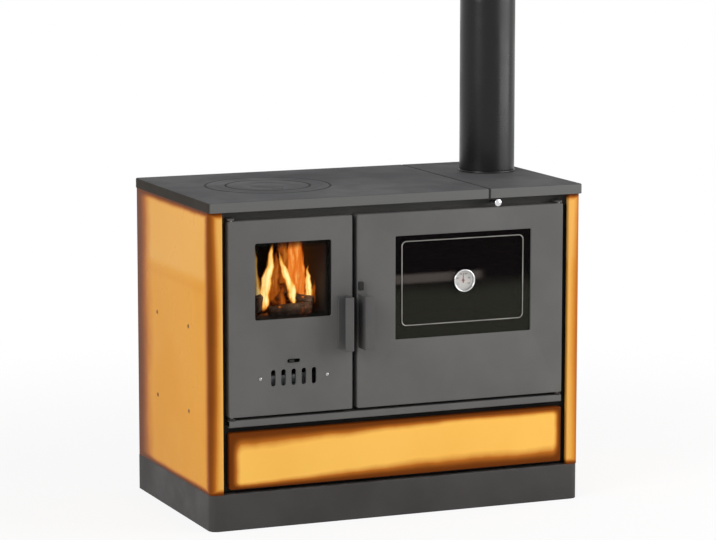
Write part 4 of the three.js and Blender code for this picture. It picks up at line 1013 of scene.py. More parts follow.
@dataclass(frozen=True)
class Rope:
    """Woven glass-fibre rope: slanting strands whose phase follows the way round the seal."""

    name: str = "woven_rope"
    pitch: float = 1500.0

    def build(self) -> Material:
        """Makes the material.

        Returns:
            The material.
        """
        shader = Shader(self.name, Roughness=0.9)
        x, y, z = shader.axes()
        phase = shader.math("MULTIPLY", shader.math("ADD", shader.math("ADD", x, z), y), self.pitch)
        strand = shader.math("MULTIPLY", shader.math("ADD", shader.math("SINE", phase), 1.0), 0.5)
        fuzz = shader.place(GRAIN_GROUP, Scale=1500.0, Cloud_Scale=20.0)
        tone = shader.mix(fuzz["Cloud"], *ROPE)
        # Painted shade in the grooves between the strands.
        groove_shade = shader.spread(strand, 0.0, 0.4, 0.6, 0.0)
        shader.paint(Base_Color=shader.mix(groove_shade, tone, screen(66, 60, 52)))
        shader.bump(shader.math("ADD", strand, shader.math("MULTIPLY", fuzz["Height"], 0.4)), 0.0008)
        return shader.material


@dataclass(frozen=True)
class Firebrick:
    """Porous firebrick, sooted towards its top."""

    name: str = "firebrick_clay"
    soot_levels: Pair = (0.47, 0.62)

    def build(self) -> Material:
        """Makes the material.

        Returns:
            The material.
        """
        shader = Shader(self.name)
        grain = shader.place(GRAIN_GROUP, Scale=420.0, Cloud_Scale=14.0)
        pores = shader.spread(shader.noise(190.0, 3.0, 0.7, seed=(4, 4, 1)), 0.58, 0.68)
        height = shader.math("ADD", shader.axes()["Z"], shader.math("MULTIPLY", grain["Cloud"], 0.12))
        soot = shader.spread(height, *self.soot_levels, smooth=True)
        # Painted shade darkens the pores.
        tone = shader.mix(pores, shader.mix(grain["Cloud"], *BRICK), screen(28, 22, 18))
        tone = shader.mix(shader.math("MULTIPLY", soot, 0.95), tone, screen(9, 8, 8))
        shader.paint(Base_Color=tone, Roughness=shader.spread(soot, 0, 1, 0.92, 0.75))
        shader.bump(shader.math("SUBTRACT", grain["Height"], pores), 0.0009)
        return shader.material


@dataclass(frozen=True)
class Char:
    """Split firewood: bark and grain, charred to a black that glows in its cracks.

    Attributes:
        name: Name of the material.
        wood: Colour of the wood that isn't burnt yet.
        grain: Colour of its dark grain.
        burnt: Share of the surface that is char.
        glow: Strength of the glow.
    """

    name: str
    wood: Colour
    grain: Colour
    burnt: float
    glow: float

    def build(self) -> Material:
        """Makes the material.

        Returns:
            The material.
        """
        shader = Shader(self.name, Roughness=0.9, Emission_Strength=self.glow)
        fibre = shader.noise(60.0, 6.0, 0.7, (1.0, 0.16, 1.0))
        patch = shader.noise(11.0, 5.0, 0.6, seed=(7, 2, 5))
        patch = shader.spread(patch, self.burnt - 0.12, self.burnt + 0.05)
        tone = shader.mix(shader.spread(fibre, 0.35, 0.65), self.wood, self.grain)
        crack = shader.spread(shader.noise(42.0, 5.0, 0.75, (1, 0.5, 1), (1, 8, 3)), 0.53, 0.70)
        heat = shader.math("MULTIPLY", crack, shader.spread(patch, 0.0, 1.0, 1.0, 0.25))
        fire = shader.mix(heat, screen(60, 8, 0), screen(255, 130, 24))
        shader.paint(Base_Color=shader.mix(patch, screen(16, 12, 10), tone),
                     Emission_Color=shader.mix(heat, screen(0, 0, 0), fire))
        shader.bump(shader.math("SUBTRACT", fibre, crack), 0.004)
        return shader.material


@dataclass(frozen=True)
class Flame:
    """A tongue of flame: emission that follows the tongue's own height and width, thin at its rim.

    The mesh carries a UV map with U across the tongue and V up it.

    Attributes:
        name: Name of the material.
        rim: Colour of the thin outside.
        heart: Colour between the rim and the middle.
        hot: Colour of the middle.
        fierce: How much of the tongue is its middle.
        strength: Emission strength.
    """

    name: str
    rim: Colour
    heart: Colour
    hot: Colour
    fierce: float
    strength: float

    def build(self) -> Material:
        """Makes the material.

        Returns:
            The material.
        """
        shader = Shader(self.name, Base_Color=(0, 0, 0, 1), Roughness=1.0, Specular_IOR_Level=0.0,
                        Emission_Strength=self.strength)
        layout = shader.split(shader.add("ShaderNodeUVMap", uv_map=FLAME_LAYOUT).outputs["UV"])
        across, height = layout["X"], layout["Y"]
        lick = shader.noise(70.0, 5.0, 0.65, (1.0, 1.0, 0.12))
        off = shader.math("ADD", shader.apart(across, 0.5), shader.math("MULTIPLY", height, 0.10))
        core = shader.spread(off, 0.0, 0.50, 1.0, 0.0, smooth=True)
        body = shader.math("MULTIPLY", core, shader.spread(lick, 0.34, 0.62, 0.2, 1.15))
        fade = shader.math("MULTIPLY", shader.spread(height, 0.60, 1.0, 1.0, 0.0),
                           shader.spread(height, 0.0, 0.16))
        dense = shader.math("MULTIPLY", body, fade, clamp=True)
        tone = shader.mix(shader.spread(dense, 0.05, 0.40), self.rim, self.heart)
        tone = shader.mix(shader.spread(dense, 0.90 - self.fierce, 0.85), tone, self.hot)
        shader.paint(Emission_Color=tone, Alpha=shader.spread(dense, 0.03, 0.55, 0.0, 0.95, smooth=True))
        return shader.material


# -------- finishes of this stove


AMBER = screen(227, 160, 60)
# The drawer's amber: the side panels' enamel made paler, as painted light on the front-facing drawer.
AMBER_LIT_FRONT = screen(251, 194, 94)

# The front frame is paler from this far under the top of the doors. Below it the black is painted shade for
# the deep gaps round the doors and drawer; above it a grey darker than the doors' paint is painted shade
# under the cooking top.
UNDER_DOOR_TOP = 0.008


class Palette:
    """Every material of the stove, made once."""

    def __init__(self) -> None:
        """Builds the shader groups, then the materials."""
        for make_group in (grain_group, band_group, dust_group):
            make_group()
        black = (screen(40, 39, 38), screen(32, 31, 31), 0.7)
        finishes = {
            "front_paint": Coating("front_paint", screen(96, 95, 93), screen(90, 89, 88), 0.60),
            "handle_paint": Coating("handle_paint", screen(84, 83, 82), screen(74, 73, 73), 0.5),
            "plinth_paint": Coating("plinth_paint", screen(62, 60, 59), screen(54, 52, 51), 0.6, dust=0.2),
            "black_paint": Coating("black_paint", *black),
            "flue_paint": Coating("flue_paint", screen(11, 11, 11), screen(8, 8, 8), 0.32, grain=1400.0,
                                  shine=0.30, speck=0.04),
            "hob_iron": self.hob_iron(),
            "inner_iron": Coating("inner_iron", screen(30, 28, 27), screen(48, 42, 37), 0.8, grain=380.0,
                                  relief=0.0002, dust=0.4),
            "galvanised": Coating("galvanised_sheet", screen(150, 152, 154), screen(138, 141, 144), 0.42,
                                  metallic=0.85, grain=60.0, relief=0.00003, gloss_swing=0.03),
            "oven_enamel": Coating("oven_enamel", screen(48, 47, 50), screen(40, 38, 42), 0.30, grain=240.0,
                                   speck=0.3),
            "dial_face": Coating("dial_enamel", screen(198, 195, 190), screen(182, 180, 176), 0.35,
                                 grain=300.0),
            "needle_paint": Coating("needle_paint", screen(150, 22, 16), screen(120, 16, 12), 0.35),
            "steel": Brightwork("turned_steel", screen(176, 176, 174), 0.24, (1, 1, 12)),
            "chrome": Brightwork("chrome", screen(232, 232, 234), 0.07),
            "bright_trim": Brightwork("bright_bead", screen(158, 156, 150), 0.30),
            "seal_rope": Rope(),
            "firebrick": Firebrick(),
        }
        self.slots = {slot: finish.build() for slot, finish in finishes.items()}
        # Painted shade: black below the doors' top for the deep gaps, and above it a grey darkened by shade
        # under the cooking top.
        self.frame = Coating("frame_paint", *black, upper=screen(82, 81, 79),
                             upper_level=node_box("oven_door")[1][2] - UNDER_DOOR_TOP).build()
        self.ink = Coating("dial_ink", screen(22, 22, 24), screen(34, 33, 34), 0.5).build()
        self.side_screw = Coating("brassed_screw", screen(150, 104, 50), screen(126, 86, 42), 0.35).build()
        self.flames = tuple(flame.build() for flame in (
            Flame("pale_flame", screen(200, 84, 10), screen(238, 170, 66), screen(255, 228, 156), 0.55, 1.45),
            Flame("amber_flame", screen(150, 44, 4), screen(226, 116, 34), screen(244, 160, 78), 0.35, 1.2),
            Flame("deep_flame", screen(92, 24, 4), screen(164, 80, 20), screen(200, 116, 40), 0.30, 1.0),
        ))
        self.log = Char("burning_log", screen(168, 132, 104), screen(112, 80, 58), 0.46, 4.5).build()
        self.ember = Char("ember_bed", screen(104, 84, 72), screen(66, 50, 42), 0.55, 7.0).build()

    def hob_iron(self) -> HobIron:
        """The cast iron of the cooking top, with soot in its joints.

        Returns:
            The finish.
        """
        centre, radius, _, _ = round_node("hob_ring")
        joints = (radius, round_node("hob_lid")[1])
        seam = (node_box("cooking_plate")[1][0] + node_box("flue_plate")[0][0]) / 2
        return HobIron(tuple(centre), joints, seam)

    def fit(self, piece: Piece, body: str, slot: str, *nodes: str) -> None:
        """Mounts a piece in the finish of its slot, for the nodes that it replaces."""
        mount(piece, body, self.slots[slot], nodes)


# -------- casing


def plate_with_hole(name: str, outlines: Sequence[Callable[[float], Loop]], plane: Plane,
                    steps: Sequence[tuple[int, float, float]]) -> Piece:
    """A plate between an outer outline and a hole with as many points, as one closed surface.

    Args:
        name: Name of the piece.
        outlines: The outer outline and the hole, which each step calls with its own value.
        plane: The plane that they lie in.
        steps: The way round the section: 0 for the outer outline or 1 for the hole, the value that it is
            called with, and the level.

    Returns:
        The piece.
    """
    loops = [in_plane(outlines[which](value), level, plane) for which, value, level in steps]
    return lofted(name, loops, closed=True)


def softened(piece: Piece, width: float, segments: int = 2) -> Piece:
    """Rounds a piece's sharp edges with a bevel.

    Args:
        piece: The piece.
        width: Width of the bevel.
        segments: Number of steps across it.

    Returns:
        The piece.
    """
    bevel = piece.modifiers.new("edge", "BEVEL")
    bevel.width = width
    bevel.segments = segments
    bevel.limit_method = "ANGLE"
    bevel.angle_limit = BEVEL_ANGLE
    return piece


def screw_head(name: str, centre: Sequence[float], radius: float, face: float, side: int, plane: Plane,
               height: float) -> Piece:
    """A domed screw head with a round recess.

    The dome's level is height * (1.15 - (r / radius) ** 2) off the face, and the recess is a shallow cone.

    Args:
        name: Name of the piece.
        centre: The axis in the plane's two coordinates.
        radius: Radius of the head.
        face: Level of the face it sits on.
        side: Direction off the face, +1 or -1.
        plane: The plane that the face lies in.
        height: Height of the dome.

    Returns:
        The piece.
    """
    share = np.linspace(1.0, 0.45, 6)
    dome = [(radius * s, face + side * height * (1.15 - s * s)) for s in share]
    recess = [(radius * 0.40, face + side * height * 0.35), (0.0, face + side * height * 0.30)]
    return turned(name, [(0.0, face), (radius, face), *dome, *recess], centre, plane, 24)


@dataclass
class Casing:
    """The plinth, and the folded side panels with their screws."""

    palette: Palette
    sheet: float = 0.002
    corner: float = 0.018
    plinth_corner: float = 0.022
    plinth_rear_corner: float = 0.0005
    plinth_sheet: float = 0.003
    plinth_top_edge: float = 0.0015
    plinth_foot_edge: float = 0.0010
    flange: float = 0.030
    strip: float = 0.036
    strip_return: float = 0.014
    rear_return: float = 0.015
    fold: float = 0.003
    hem: float = 0.0006
    # Painted reflection: the side enamel is paler above this level.
    pale_above: float = 0.645
    # Widths of a side panel's brown bands: painted shade along the rear edge and under the cooking top, and a
    # darker band along the foot.
    rear_spray: float = 0.150
    top_spray: float = 0.022
    foot_spray: float = 0.020
    screw_radius: float = 0.0060
    screw_height: float = 0.0018
    screw_places: tuple[Pair, ...] = (
        (-0.122, 0.511), (0.122, 0.511), (-0.122, 0.288), (0.122, 0.288))

    def side_panel(self, node: str, side: int) -> None:
        """One enamelled sheet folded round its front edge, carried up the height of the casing.

        Args:
            node: The frame node that it stands for.
            side: -1 for the left panel, +1 for the right one.
        """
        low, high = node_box(node)
        outer = max(abs(low[0]), abs(high[0]))
        inner, front, back = outer - self.strip, low[1], high[1]
        corners = [(outer - self.rear_return, back), (outer, back), (outer, front), (inner, front),
                   (inner, front + self.strip_return)]
        section = folded_section([(side * x, y) for x, y in corners], (self.fold, self.corner, self.fold),
                                 self.sheet, -side)
        levels = [low[2], *np.linspace(low[2] + self.hem, high[2] - self.hem, 12), high[2]]
        panel = lofted(f"{node}_sheet", [in_plane(section, level, Plane.XY) for level in levels])
        # Painted shade along the back edge and under the cooking top; the foot band darkens the bottom edge.
        bands = (Band(1, back, -1, self.rear_spray), Band(2, high[2], -1, self.top_spray),
                 Band(2, low[2], 1, self.foot_spray))
        # The right panel's fold gets weaker painted shade than the left's; both panels carry the painted
        # reflection.
        finish = SprayedEnamel(f"{node}_enamel", AMBER, bands, corner=(outer, front),
                               fold=1.0 if side < 0 else 0.72, pale_above=self.pale_above)
        mount(panel, "stove", finish.build(), [node])
        for number, place in enumerate(self.screw_places):
            name = f"{node}_screw_{number}"
            head = screw_head(name, place, self.screw_radius, side * outer, side, Plane.YZ, self.screw_height)
            mount(head, "stove", self.palette.side_screw)

    def plinth(self) -> None:
        """Plinth: a pan with rounded front corners, softened edges and a flange round its open top."""
        low, high = node_box("plinth")
        corners = (self.plinth_corner, self.plinth_corner, self.plinth_rear_corner, self.plinth_rear_corner)
        bottom, top, wall = low[2], high[2], self.plinth_sheet
        steps = [(-wall, bottom + wall), (-wall, top - wall), (-self.flange, top - wall), (-self.flange, top)]
        steps += round_over(self.plinth_top_edge, top, -1, True)
        steps += [(0.0, z) for z in np.linspace(top - 0.010, bottom + 0.010, 5)]
        steps += round_over(self.plinth_foot_edge, bottom, 1, False)
        loops = [in_plane(rounded_loop(low[:2], high[:2], corners, g), z, Plane.XY) for g, z in steps]
        piece = lofted("plinth_pan", loops)
        self.palette.fit(piece, "stove", "plinth_paint", "plinth", "plinth_floor")

    def build(self) -> None:
        """Makes the casing's pieces."""
        self.side_panel("left_side_panel", -1)
        self.side_panel("right_side_panel", 1)
        self.plinth()


# -------- cooking top and flue


@dataclass
class CookingTop:
    """The two castings of the cooking top, its ring and lid, and the flue that stands on it."""

    palette: Palette
    corner: float = 0.010
    seam_corner: float = 0.0008
    edge: float = 0.003
    under_edge: float = 0.0015
    rim: float = 0.012
    skin: float = 0.014
    ring_step: float = 0.007
    ledge: float = 0.012
    ease: float = 0.001
    soft: float = 0.0012
    sink: float = 0.0003
    groove_slope: float = 0.0015
    groove_depth: float = 0.0006
    ring_groove: float = 0.004
    lid_groove: float = 0.003
    lid_groove_radius: float = 0.049
    lifter_slot: Pair = (0.034, 0.011)
    lifter_depth: float = 0.004
    lifter_place: float = 0.070
    plate_lap: float = 0.008
    flange: float = 0.005
    flange_edge: float = 0.0015
    flue_bore: float = 0.067
    spigot_ease: float = 0.0023
    spigot_edge: float = 0.0015
    pipe_sheet: float = 0.002

    def casting(self, node: str, centre: Sequence[float], holes: Sequence[Pair],
                radii: Sequence[float]) -> None:
        """One casting: a deep rounded edge, a flat face and a stepped round hole.

        Args:
            node: The frame node that it stands for.
            centre: Centre of the hole.
            holes: Pairs of radius and level of the hole's steps, from the top down.
            radii: Corner radii of the outline.
        """
        low, high = node_box(node)
        outline = partial(rounded_loop, low[:2], high[:2], radii)
        hole = partial(circle_like, outline(), centre)
        top, bottom, skin = high[2], low[2], high[2] - self.skin
        steps = [(0, -self.rim, skin), (0, -self.rim, bottom)]
        steps += [(0, g, z) for g, z in round_over(self.under_edge, bottom, 1, True)]
        steps += [(0, 0.0, z) for z in np.linspace(bottom + 0.004, top - 0.006, 4)]
        steps += [(0, g, z) for g, z in round_over(self.edge, top, -1, False)]
        steps += [(0, -self.rim, top)]
        steps += [(1, radius, level) for radius, level in holes]
        steps += [(1, holes[-1][0], skin)]
        piece = plate_with_hole(f"{node}_casting", (outline, hole), Plane.XY, steps)
        self.palette.fit(piece, "stove", "hob_iron", node)

    def castings(self) -> None:
        """The left casting with its stepped hole, and the right one with the flue hole."""
        centre, radius, _, _ = round_node("hob_ring")
        top = node_box("cooking_plate")[1][2]
        ledge, mouth = top - self.ring_step - self.sink, radius + self.ease
        holes = [(mouth + self.soft, top), (mouth + 0.0003, top - 0.0004), (mouth, top - self.soft),
                 (mouth, ledge), (radius - self.ledge, ledge)]
        corner, square = self.corner, self.seam_corner
        self.casting("cooking_plate", centre, holes, (corner, square, square, corner))
        flue, pipe, _, _ = round_node("flue_pipe")
        self.casting("flue_plate", flue, [(pipe - self.plate_lap, top)], (square, corner, corner, square))

    def softened_rim(self, radius: float, top: float, side: int) -> list[Pair]:
        """The profile up over a soft rim: side is +1 on the outside of a ring, -1 on its inside."""
        turned_in = (radius - side * 0.0004, top - 0.0004)
        return [(radius, top - self.soft), turned_in, (radius - side * self.soft, top)]

    def groove(self, middle: float, half: float, top: float) -> list[Pair]:
        """The profile inwards through a turned groove, of a given half width at its top."""
        foot, floor = half - self.groove_slope, top - self.groove_depth
        return [(middle + half, top), (middle + foot, floor), (middle - foot, floor), (middle - half, top)]

    def ring(self) -> None:
        """Hob ring: a stepped ring with softened rims, turned about its own centre."""
        centre, radius, bottom, top = round_node("hob_ring")
        mouth = round_node("hob_lid")[1] + self.ease
        inner, outer = mouth - self.ledge - self.ease, radius - self.ledge - self.ease
        step = top - self.ring_step
        seat = step - self.sink
        profile = [*self.softened_rim(mouth, top, -1)[::-1], (mouth, seat), (inner, seat), (inner, bottom),
                   (outer, bottom), (outer, step), (radius, step), *self.softened_rim(radius, top, 1),
                   *self.groove((radius + mouth) / 2, self.ring_groove, top)]
        piece = turned("hob_ring_casting", profile, centre, Plane.XY, closed=True)
        self.palette.fit(piece, "hob_ring", "hob_iron", "hob_ring")

    def lid(self) -> None:
        """Hob lid: a disc with a softened rim, a turned groove and the lifter's recess."""
        centre, radius, bottom, top = round_node("hob_lid")
        step, inner = top - self.ring_step, radius - self.ledge - 2 * self.ease
        profile = [(0.0, bottom), (inner, bottom), (inner, step), (radius, step),
                   *self.softened_rim(radius, top, 1),
                   *self.groove(self.lid_groove_radius, self.lid_groove, top), (0.0, top)]
        disc = turned("hob_lid_casting", profile, centre, Plane.XY)
        middle, half = centre - (0.0, self.lifter_place), np.array(self.lifter_slot) / 2
        recess = rounded_loop(middle - half, middle + half, (half[1] - 0.0001,) * 4)
        levels = (top - self.lifter_depth, top + 0.002)
        cutter = lofted("recess", [in_plane(recess, level, Plane.XY) for level in levels])
        self.palette.fit(cut(disc, [cutter]), "hob_lid", "hob_iron", "hob_lid")

    def flue(self) -> None:
        """Flue collar, a spigot on a low flange, and the pipe sleeved over it with its rolled mouth."""
        _, foot, base, top = round_node("flue_collar")
        centre, pipe, bottom, mouth = round_node("flue_pipe")
        bore, spigot = self.flue_bore, pipe - self.spigot_ease
        flange, edge = base + self.flange, self.flange_edge
        curl, turn = self.spigot_edge, np.linspace(0, math.pi / 2, 5)
        lip = [(spigot - curl * (1 - math.cos(t)), top - curl * (1 - math.sin(t))) for t in turn]
        profile = [(bore, base), (foot - 0.0006, base), (foot, base + 0.0006), (foot, flange - edge),
                   (foot - 0.0004, flange - 0.0004), (foot - edge, flange), (spigot, flange), *lip,
                   (bore + 0.001, top), (bore, top - 0.001)]
        collar = turned("flue_collar_casting", profile, centre, Plane.XY, closed=True)
        self.palette.fit(collar, "stove", "flue_paint", "flue_collar")
        inner = pipe - self.pipe_sheet
        wall = [(pipe, z) for z in np.linspace(bottom + 0.001, mouth - 0.0015, 12)]
        tube = [(inner, bottom), (pipe - 0.0008, bottom), *wall, (pipe - 0.0004, mouth - 0.0004),
                (pipe - 0.001, mouth), (inner, mouth - 0.0004)]
        piece = turned("flue_pipe_tube", tube, centre, Plane.XY, closed=True)
        self.palette.fit(piece, "stove", "flue_paint", "flue_pipe")

    def build(self) -> None:
        """Makes the pieces of the top and the flue."""
        self.castings()
        self.ring()
        self.lid()
        self.flue()


# -------- doors


def pad(name: str, low: Array, high: Array, corner: float, edge: float, plane: Plane, side: int) -> Piece:
    """A low block with rounded corners and a rounded edge round one face.

    Args:
        name: Name of the piece.
        low: Low corner.
        high: High corner.
        corner: Radius of its corners.
        edge: Radius over the edge of its face.
        plane: The plane of its face.
        side: +1 when the face is at the high level, -1 when it is at the low one.

    Returns:
        The piece.
    """
    flat, third = list(plane.value[:2]), plane.value[2]
    face, back = (high[third], low[third]) if side > 0 else (low[third], high[third])
    outline = partial(rounded_loop, low[flat], high[flat], (corner,) * 4)
    steps = [(0.0, back)] + round_over(edge, face, -side, False)
    return lofted(name, [in_plane(outline(g), level, plane) for g, level in steps])


def round_band(name: str, low: Sequence[float], high: Sequence[float], corner: float, half_width: float,
               reach: float, level: float, plane: Plane, full: bool) -> Piece:
    """A round section carried along a rectangle with rounded corners.

    The section's growth is half_width * cos t and its level is level + reach * sin t.

    Args:
        name: Name of the piece.
        low: Low corner of the middle line.
        high: High corner of the middle line.
        corner: Corner radius of the middle line.
        half_width: Half the section's width.
        reach: The section's height, with its direction as its sign.
        level: Level of the section's middle, or of its flat side.
        plane: The plane of the line.
        full: True for a whole round, False for a half round on a flat side.

    Returns:
        The piece.
    """
    turn = np.linspace(0, 2 * math.pi, 16, endpoint=False) if full else np.linspace(0, math.pi, 9)
    line = partial(rounded_loop, low, high, (corner,) * 4)
    loops = [in_plane(line(half_width * math.cos(t)), level + reach * math.sin(t), plane) for t in turn]
    return lofted(name, loops, closed=True)


@dataclass
class Door:
    """What both doors share: a folded leaf with a window, its pane, its rope seal and its handle."""

    palette: Palette
    name: str
    handle_side: int
    window_corner: float
    pane_tint: Colour
    # Colour of the pane's lower part: on the oven door a painted reflection.
    pane_smoke: Colour
    pane_cover: float
    pane_soot: float
    film_level: float
    corner: float = 0.004
    edge: float = 0.0022
    window_edge: float = 0.0015
    face: float = 0.005
    rim: float = 0.004
    glass_lap: float = 0.0087
    rope_radius: float = 0.0045
    rope_corner: float = 0.0075
    handle_sheet: float = 0.004
    handle_bends: Pair = (0.005, 0.006)
    handle_edge: float = 0.0009

    @property
    def body(self) -> str:
        """The name of the door's body, and of its leaf's node."""
        return f"{self.name}_door"

    def window(self) -> Box:
        """The clear opening, from the pane's box less its lap."""
        low, high = node_box(f"{self.name}_glass")
        lap = np.array((self.glass_lap, 0.0, self.glass_lap))
        return low + lap, high - lap

    def leaf(self) -> Piece:
        """Lofts the leaf: its rim, rounded front edge, face, window lip and hollow back.

        Returns:
            The leaf.
        """
        low, high = node_box(self.body)
        hole_low, hole_high = self.window()
        front, back = low[1], high[1]
        inner = front + self.face
        outline = partial(rounded_loop, low[[0, 2]], high[[0, 2]], (self.corner,) * 4)
        opening = partial(rounded_loop, hole_low[[0, 2]], hole_high[[0, 2]], (self.window_corner,) * 4)
        steps = [(0, -self.rim, back), (0, -0.0006, back), (0, 0.0, back - 0.0006)]
        steps += [(0, 0.0, y) for y in np.linspace(back - 0.004, front + 0.006, 4)]
        steps += [(0, g, y) for g, y in round_over(self.edge, front, 1, False)]
        steps += [(0, -self.edge - 0.004, front)]
        steps += [(1, -g, y) for g, y in round_over(self.window_edge, front, 1, True)]
        steps += [(1, 0.0, inner), (0, -self.rim, inner)]
        return plate_with_hole(f"{self.body}_leaf", (outline, opening), Plane.XZ, steps)

    def handle(self) -> None:
        """Folded strip handle with a foot on the door, a web and a grip turned outwards."""
        node = f"{self.name}_handle"
        low, high = node_box(node)
        web, tip = (low[0], high[0]) if self.handle_side > 0 else (high[0], low[0])
        foot, grip = high[1], low[1]
        section = folded_section([(tip, foot), (web, foot), (web, grip), (tip, grip)], self.handle_bends,
                                 self.handle_sheet, self.handle_side)
        strip = extruded(f"{node}_strip", section, low[2], high[2], Plane.XY)
        self.palette.fit(softened(strip, self.handle_edge), self.body, "handle_paint", node)

    def seal(self) -> None:
        """Rope seal: a round rope laid round the opening on the back of the door."""
        node, radius = f"{self.name}_seal", self.rope_radius
        low, high = node_box(node)
        squeeze, level = (high[1] - low[1]) / 2, (low[1] + high[1]) / 2
        piece = round_band(f"{node}_rope", low[[0, 2]] + radius, high[[0, 2]] - radius, self.rope_corner,
                           radius, squeeze, level, Plane.XZ, True)
        self.palette.fit(piece, self.body, "seal_rope", node)

    def glaze(self, frame: dict[str, Any], slot: str, **haze: Any) -> None:
        """Gives the pane its glass."""
        pane = Pane(slot, self.pane_tint, self.pane_smoke, self.pane_cover, self.pane_soot, *self.window(),
                    self.film_level, **haze)
        dress(frame["nodes"][f"{self.name}_glass"], pane.build())


@dataclass
class FireboxDoor(Door):
    """The firebox door, with its air slots, the tab's slot and the slider's screws."""

    slot_count: int = 5
    slot_size: Pair = (0.013, 0.043)
    slot_pitch: float = 0.028
    slot_level: float = 0.390
    tab_level: float = 0.432
    tab_slot: Pair = (0.036, 0.010)
    slot_edge: float = 0.0005
    screw_spread: float = 0.092
    screw_hole: float = 0.0028
    screw_shank: float = 0.0025
    screw_head: float = 0.0045
    nut_height: float = 0.004

    def slot(self, x: float, z: float, size: Pair, reach: Pair) -> Piece:
        """A cutter with round ends, between two levels."""
        middle, half = np.array((x, z)), np.array(size) / 2
        outline = rounded_loop(middle - half, middle + half, (min(half) - 0.0001,) * 4)
        return lofted("slot", [in_plane(outline, y, Plane.XZ) for y in reach])

    def front(self) -> None:
        """The leaf with everything that is cut through its face."""
        leaf = self.leaf()
        low, _ = node_box(self.body)
        window_low, window_high = self.window()
        middle = (window_low[0] + window_high[0]) / 2
        reach = (low[1] - 0.002, low[1] + self.face + 0.002)
        places = middle + (np.arange(self.slot_count) - (self.slot_count - 1) / 2) * self.slot_pitch
        cutters = [self.slot(x, self.slot_level, self.slot_size, reach) for x in places]
        cutters.append(self.slot(middle, self.tab_level, self.tab_slot, reach))
        screws = (middle - self.screw_spread, middle + self.screw_spread)
        hole = [(0.0, reach[0]), (self.screw_hole, reach[0]), (self.screw_hole, reach[1]), (0.0, reach[1])]
        cutters += [turned("hole", hole, (x, self.slot_level), Plane.XZ, 24) for x in screws]
        leaf = softened(cut(leaf, cutters), self.slot_edge, 1)
        self.palette.fit(leaf, self.body, "front_paint", self.body)
        for node, x in zip(("slider_screw_left", "slider_screw_right"), screws):
            self.screw(node, x)

    def screw(self, node: str, x: float) -> None:
        """Guide screw: a domed head on the face, its shank and the nut behind the slider.

        Args:
            node: The frame node that it stands for.
            x: Place of its axis on X.
        """
        low, high = node_box(node)
        head, shank, tip, end = self.screw_head, self.screw_shank, low[1], high[1]
        face, nut = tip + 0.002, end - self.nut_height
        profile = [(0.0, tip + 0.0007), (head * 0.35, tip + 0.0006), (head * 0.42, tip),
                   (head * 0.7, tip + 0.0002), (head * 0.93, tip + 0.0009), (head, face), (shank, face),
                   (shank, nut), (head, nut), (head, end - 0.0004), (head - 0.0004, end), (0.0, end)]
        piece = turned(f"{node}_turned", profile, (x, self.slot_level), Plane.XZ, 32)
        self.palette.fit(piece, self.body, "steel", node)

    def build(self, frame: dict[str, Any]) -> None:
        """Makes the door's pieces.

        Args:
            frame: The loaded frame.
        """
        self.handle()
        self.seal()
        self.front()
        self.glaze(frame, "fire_glass")


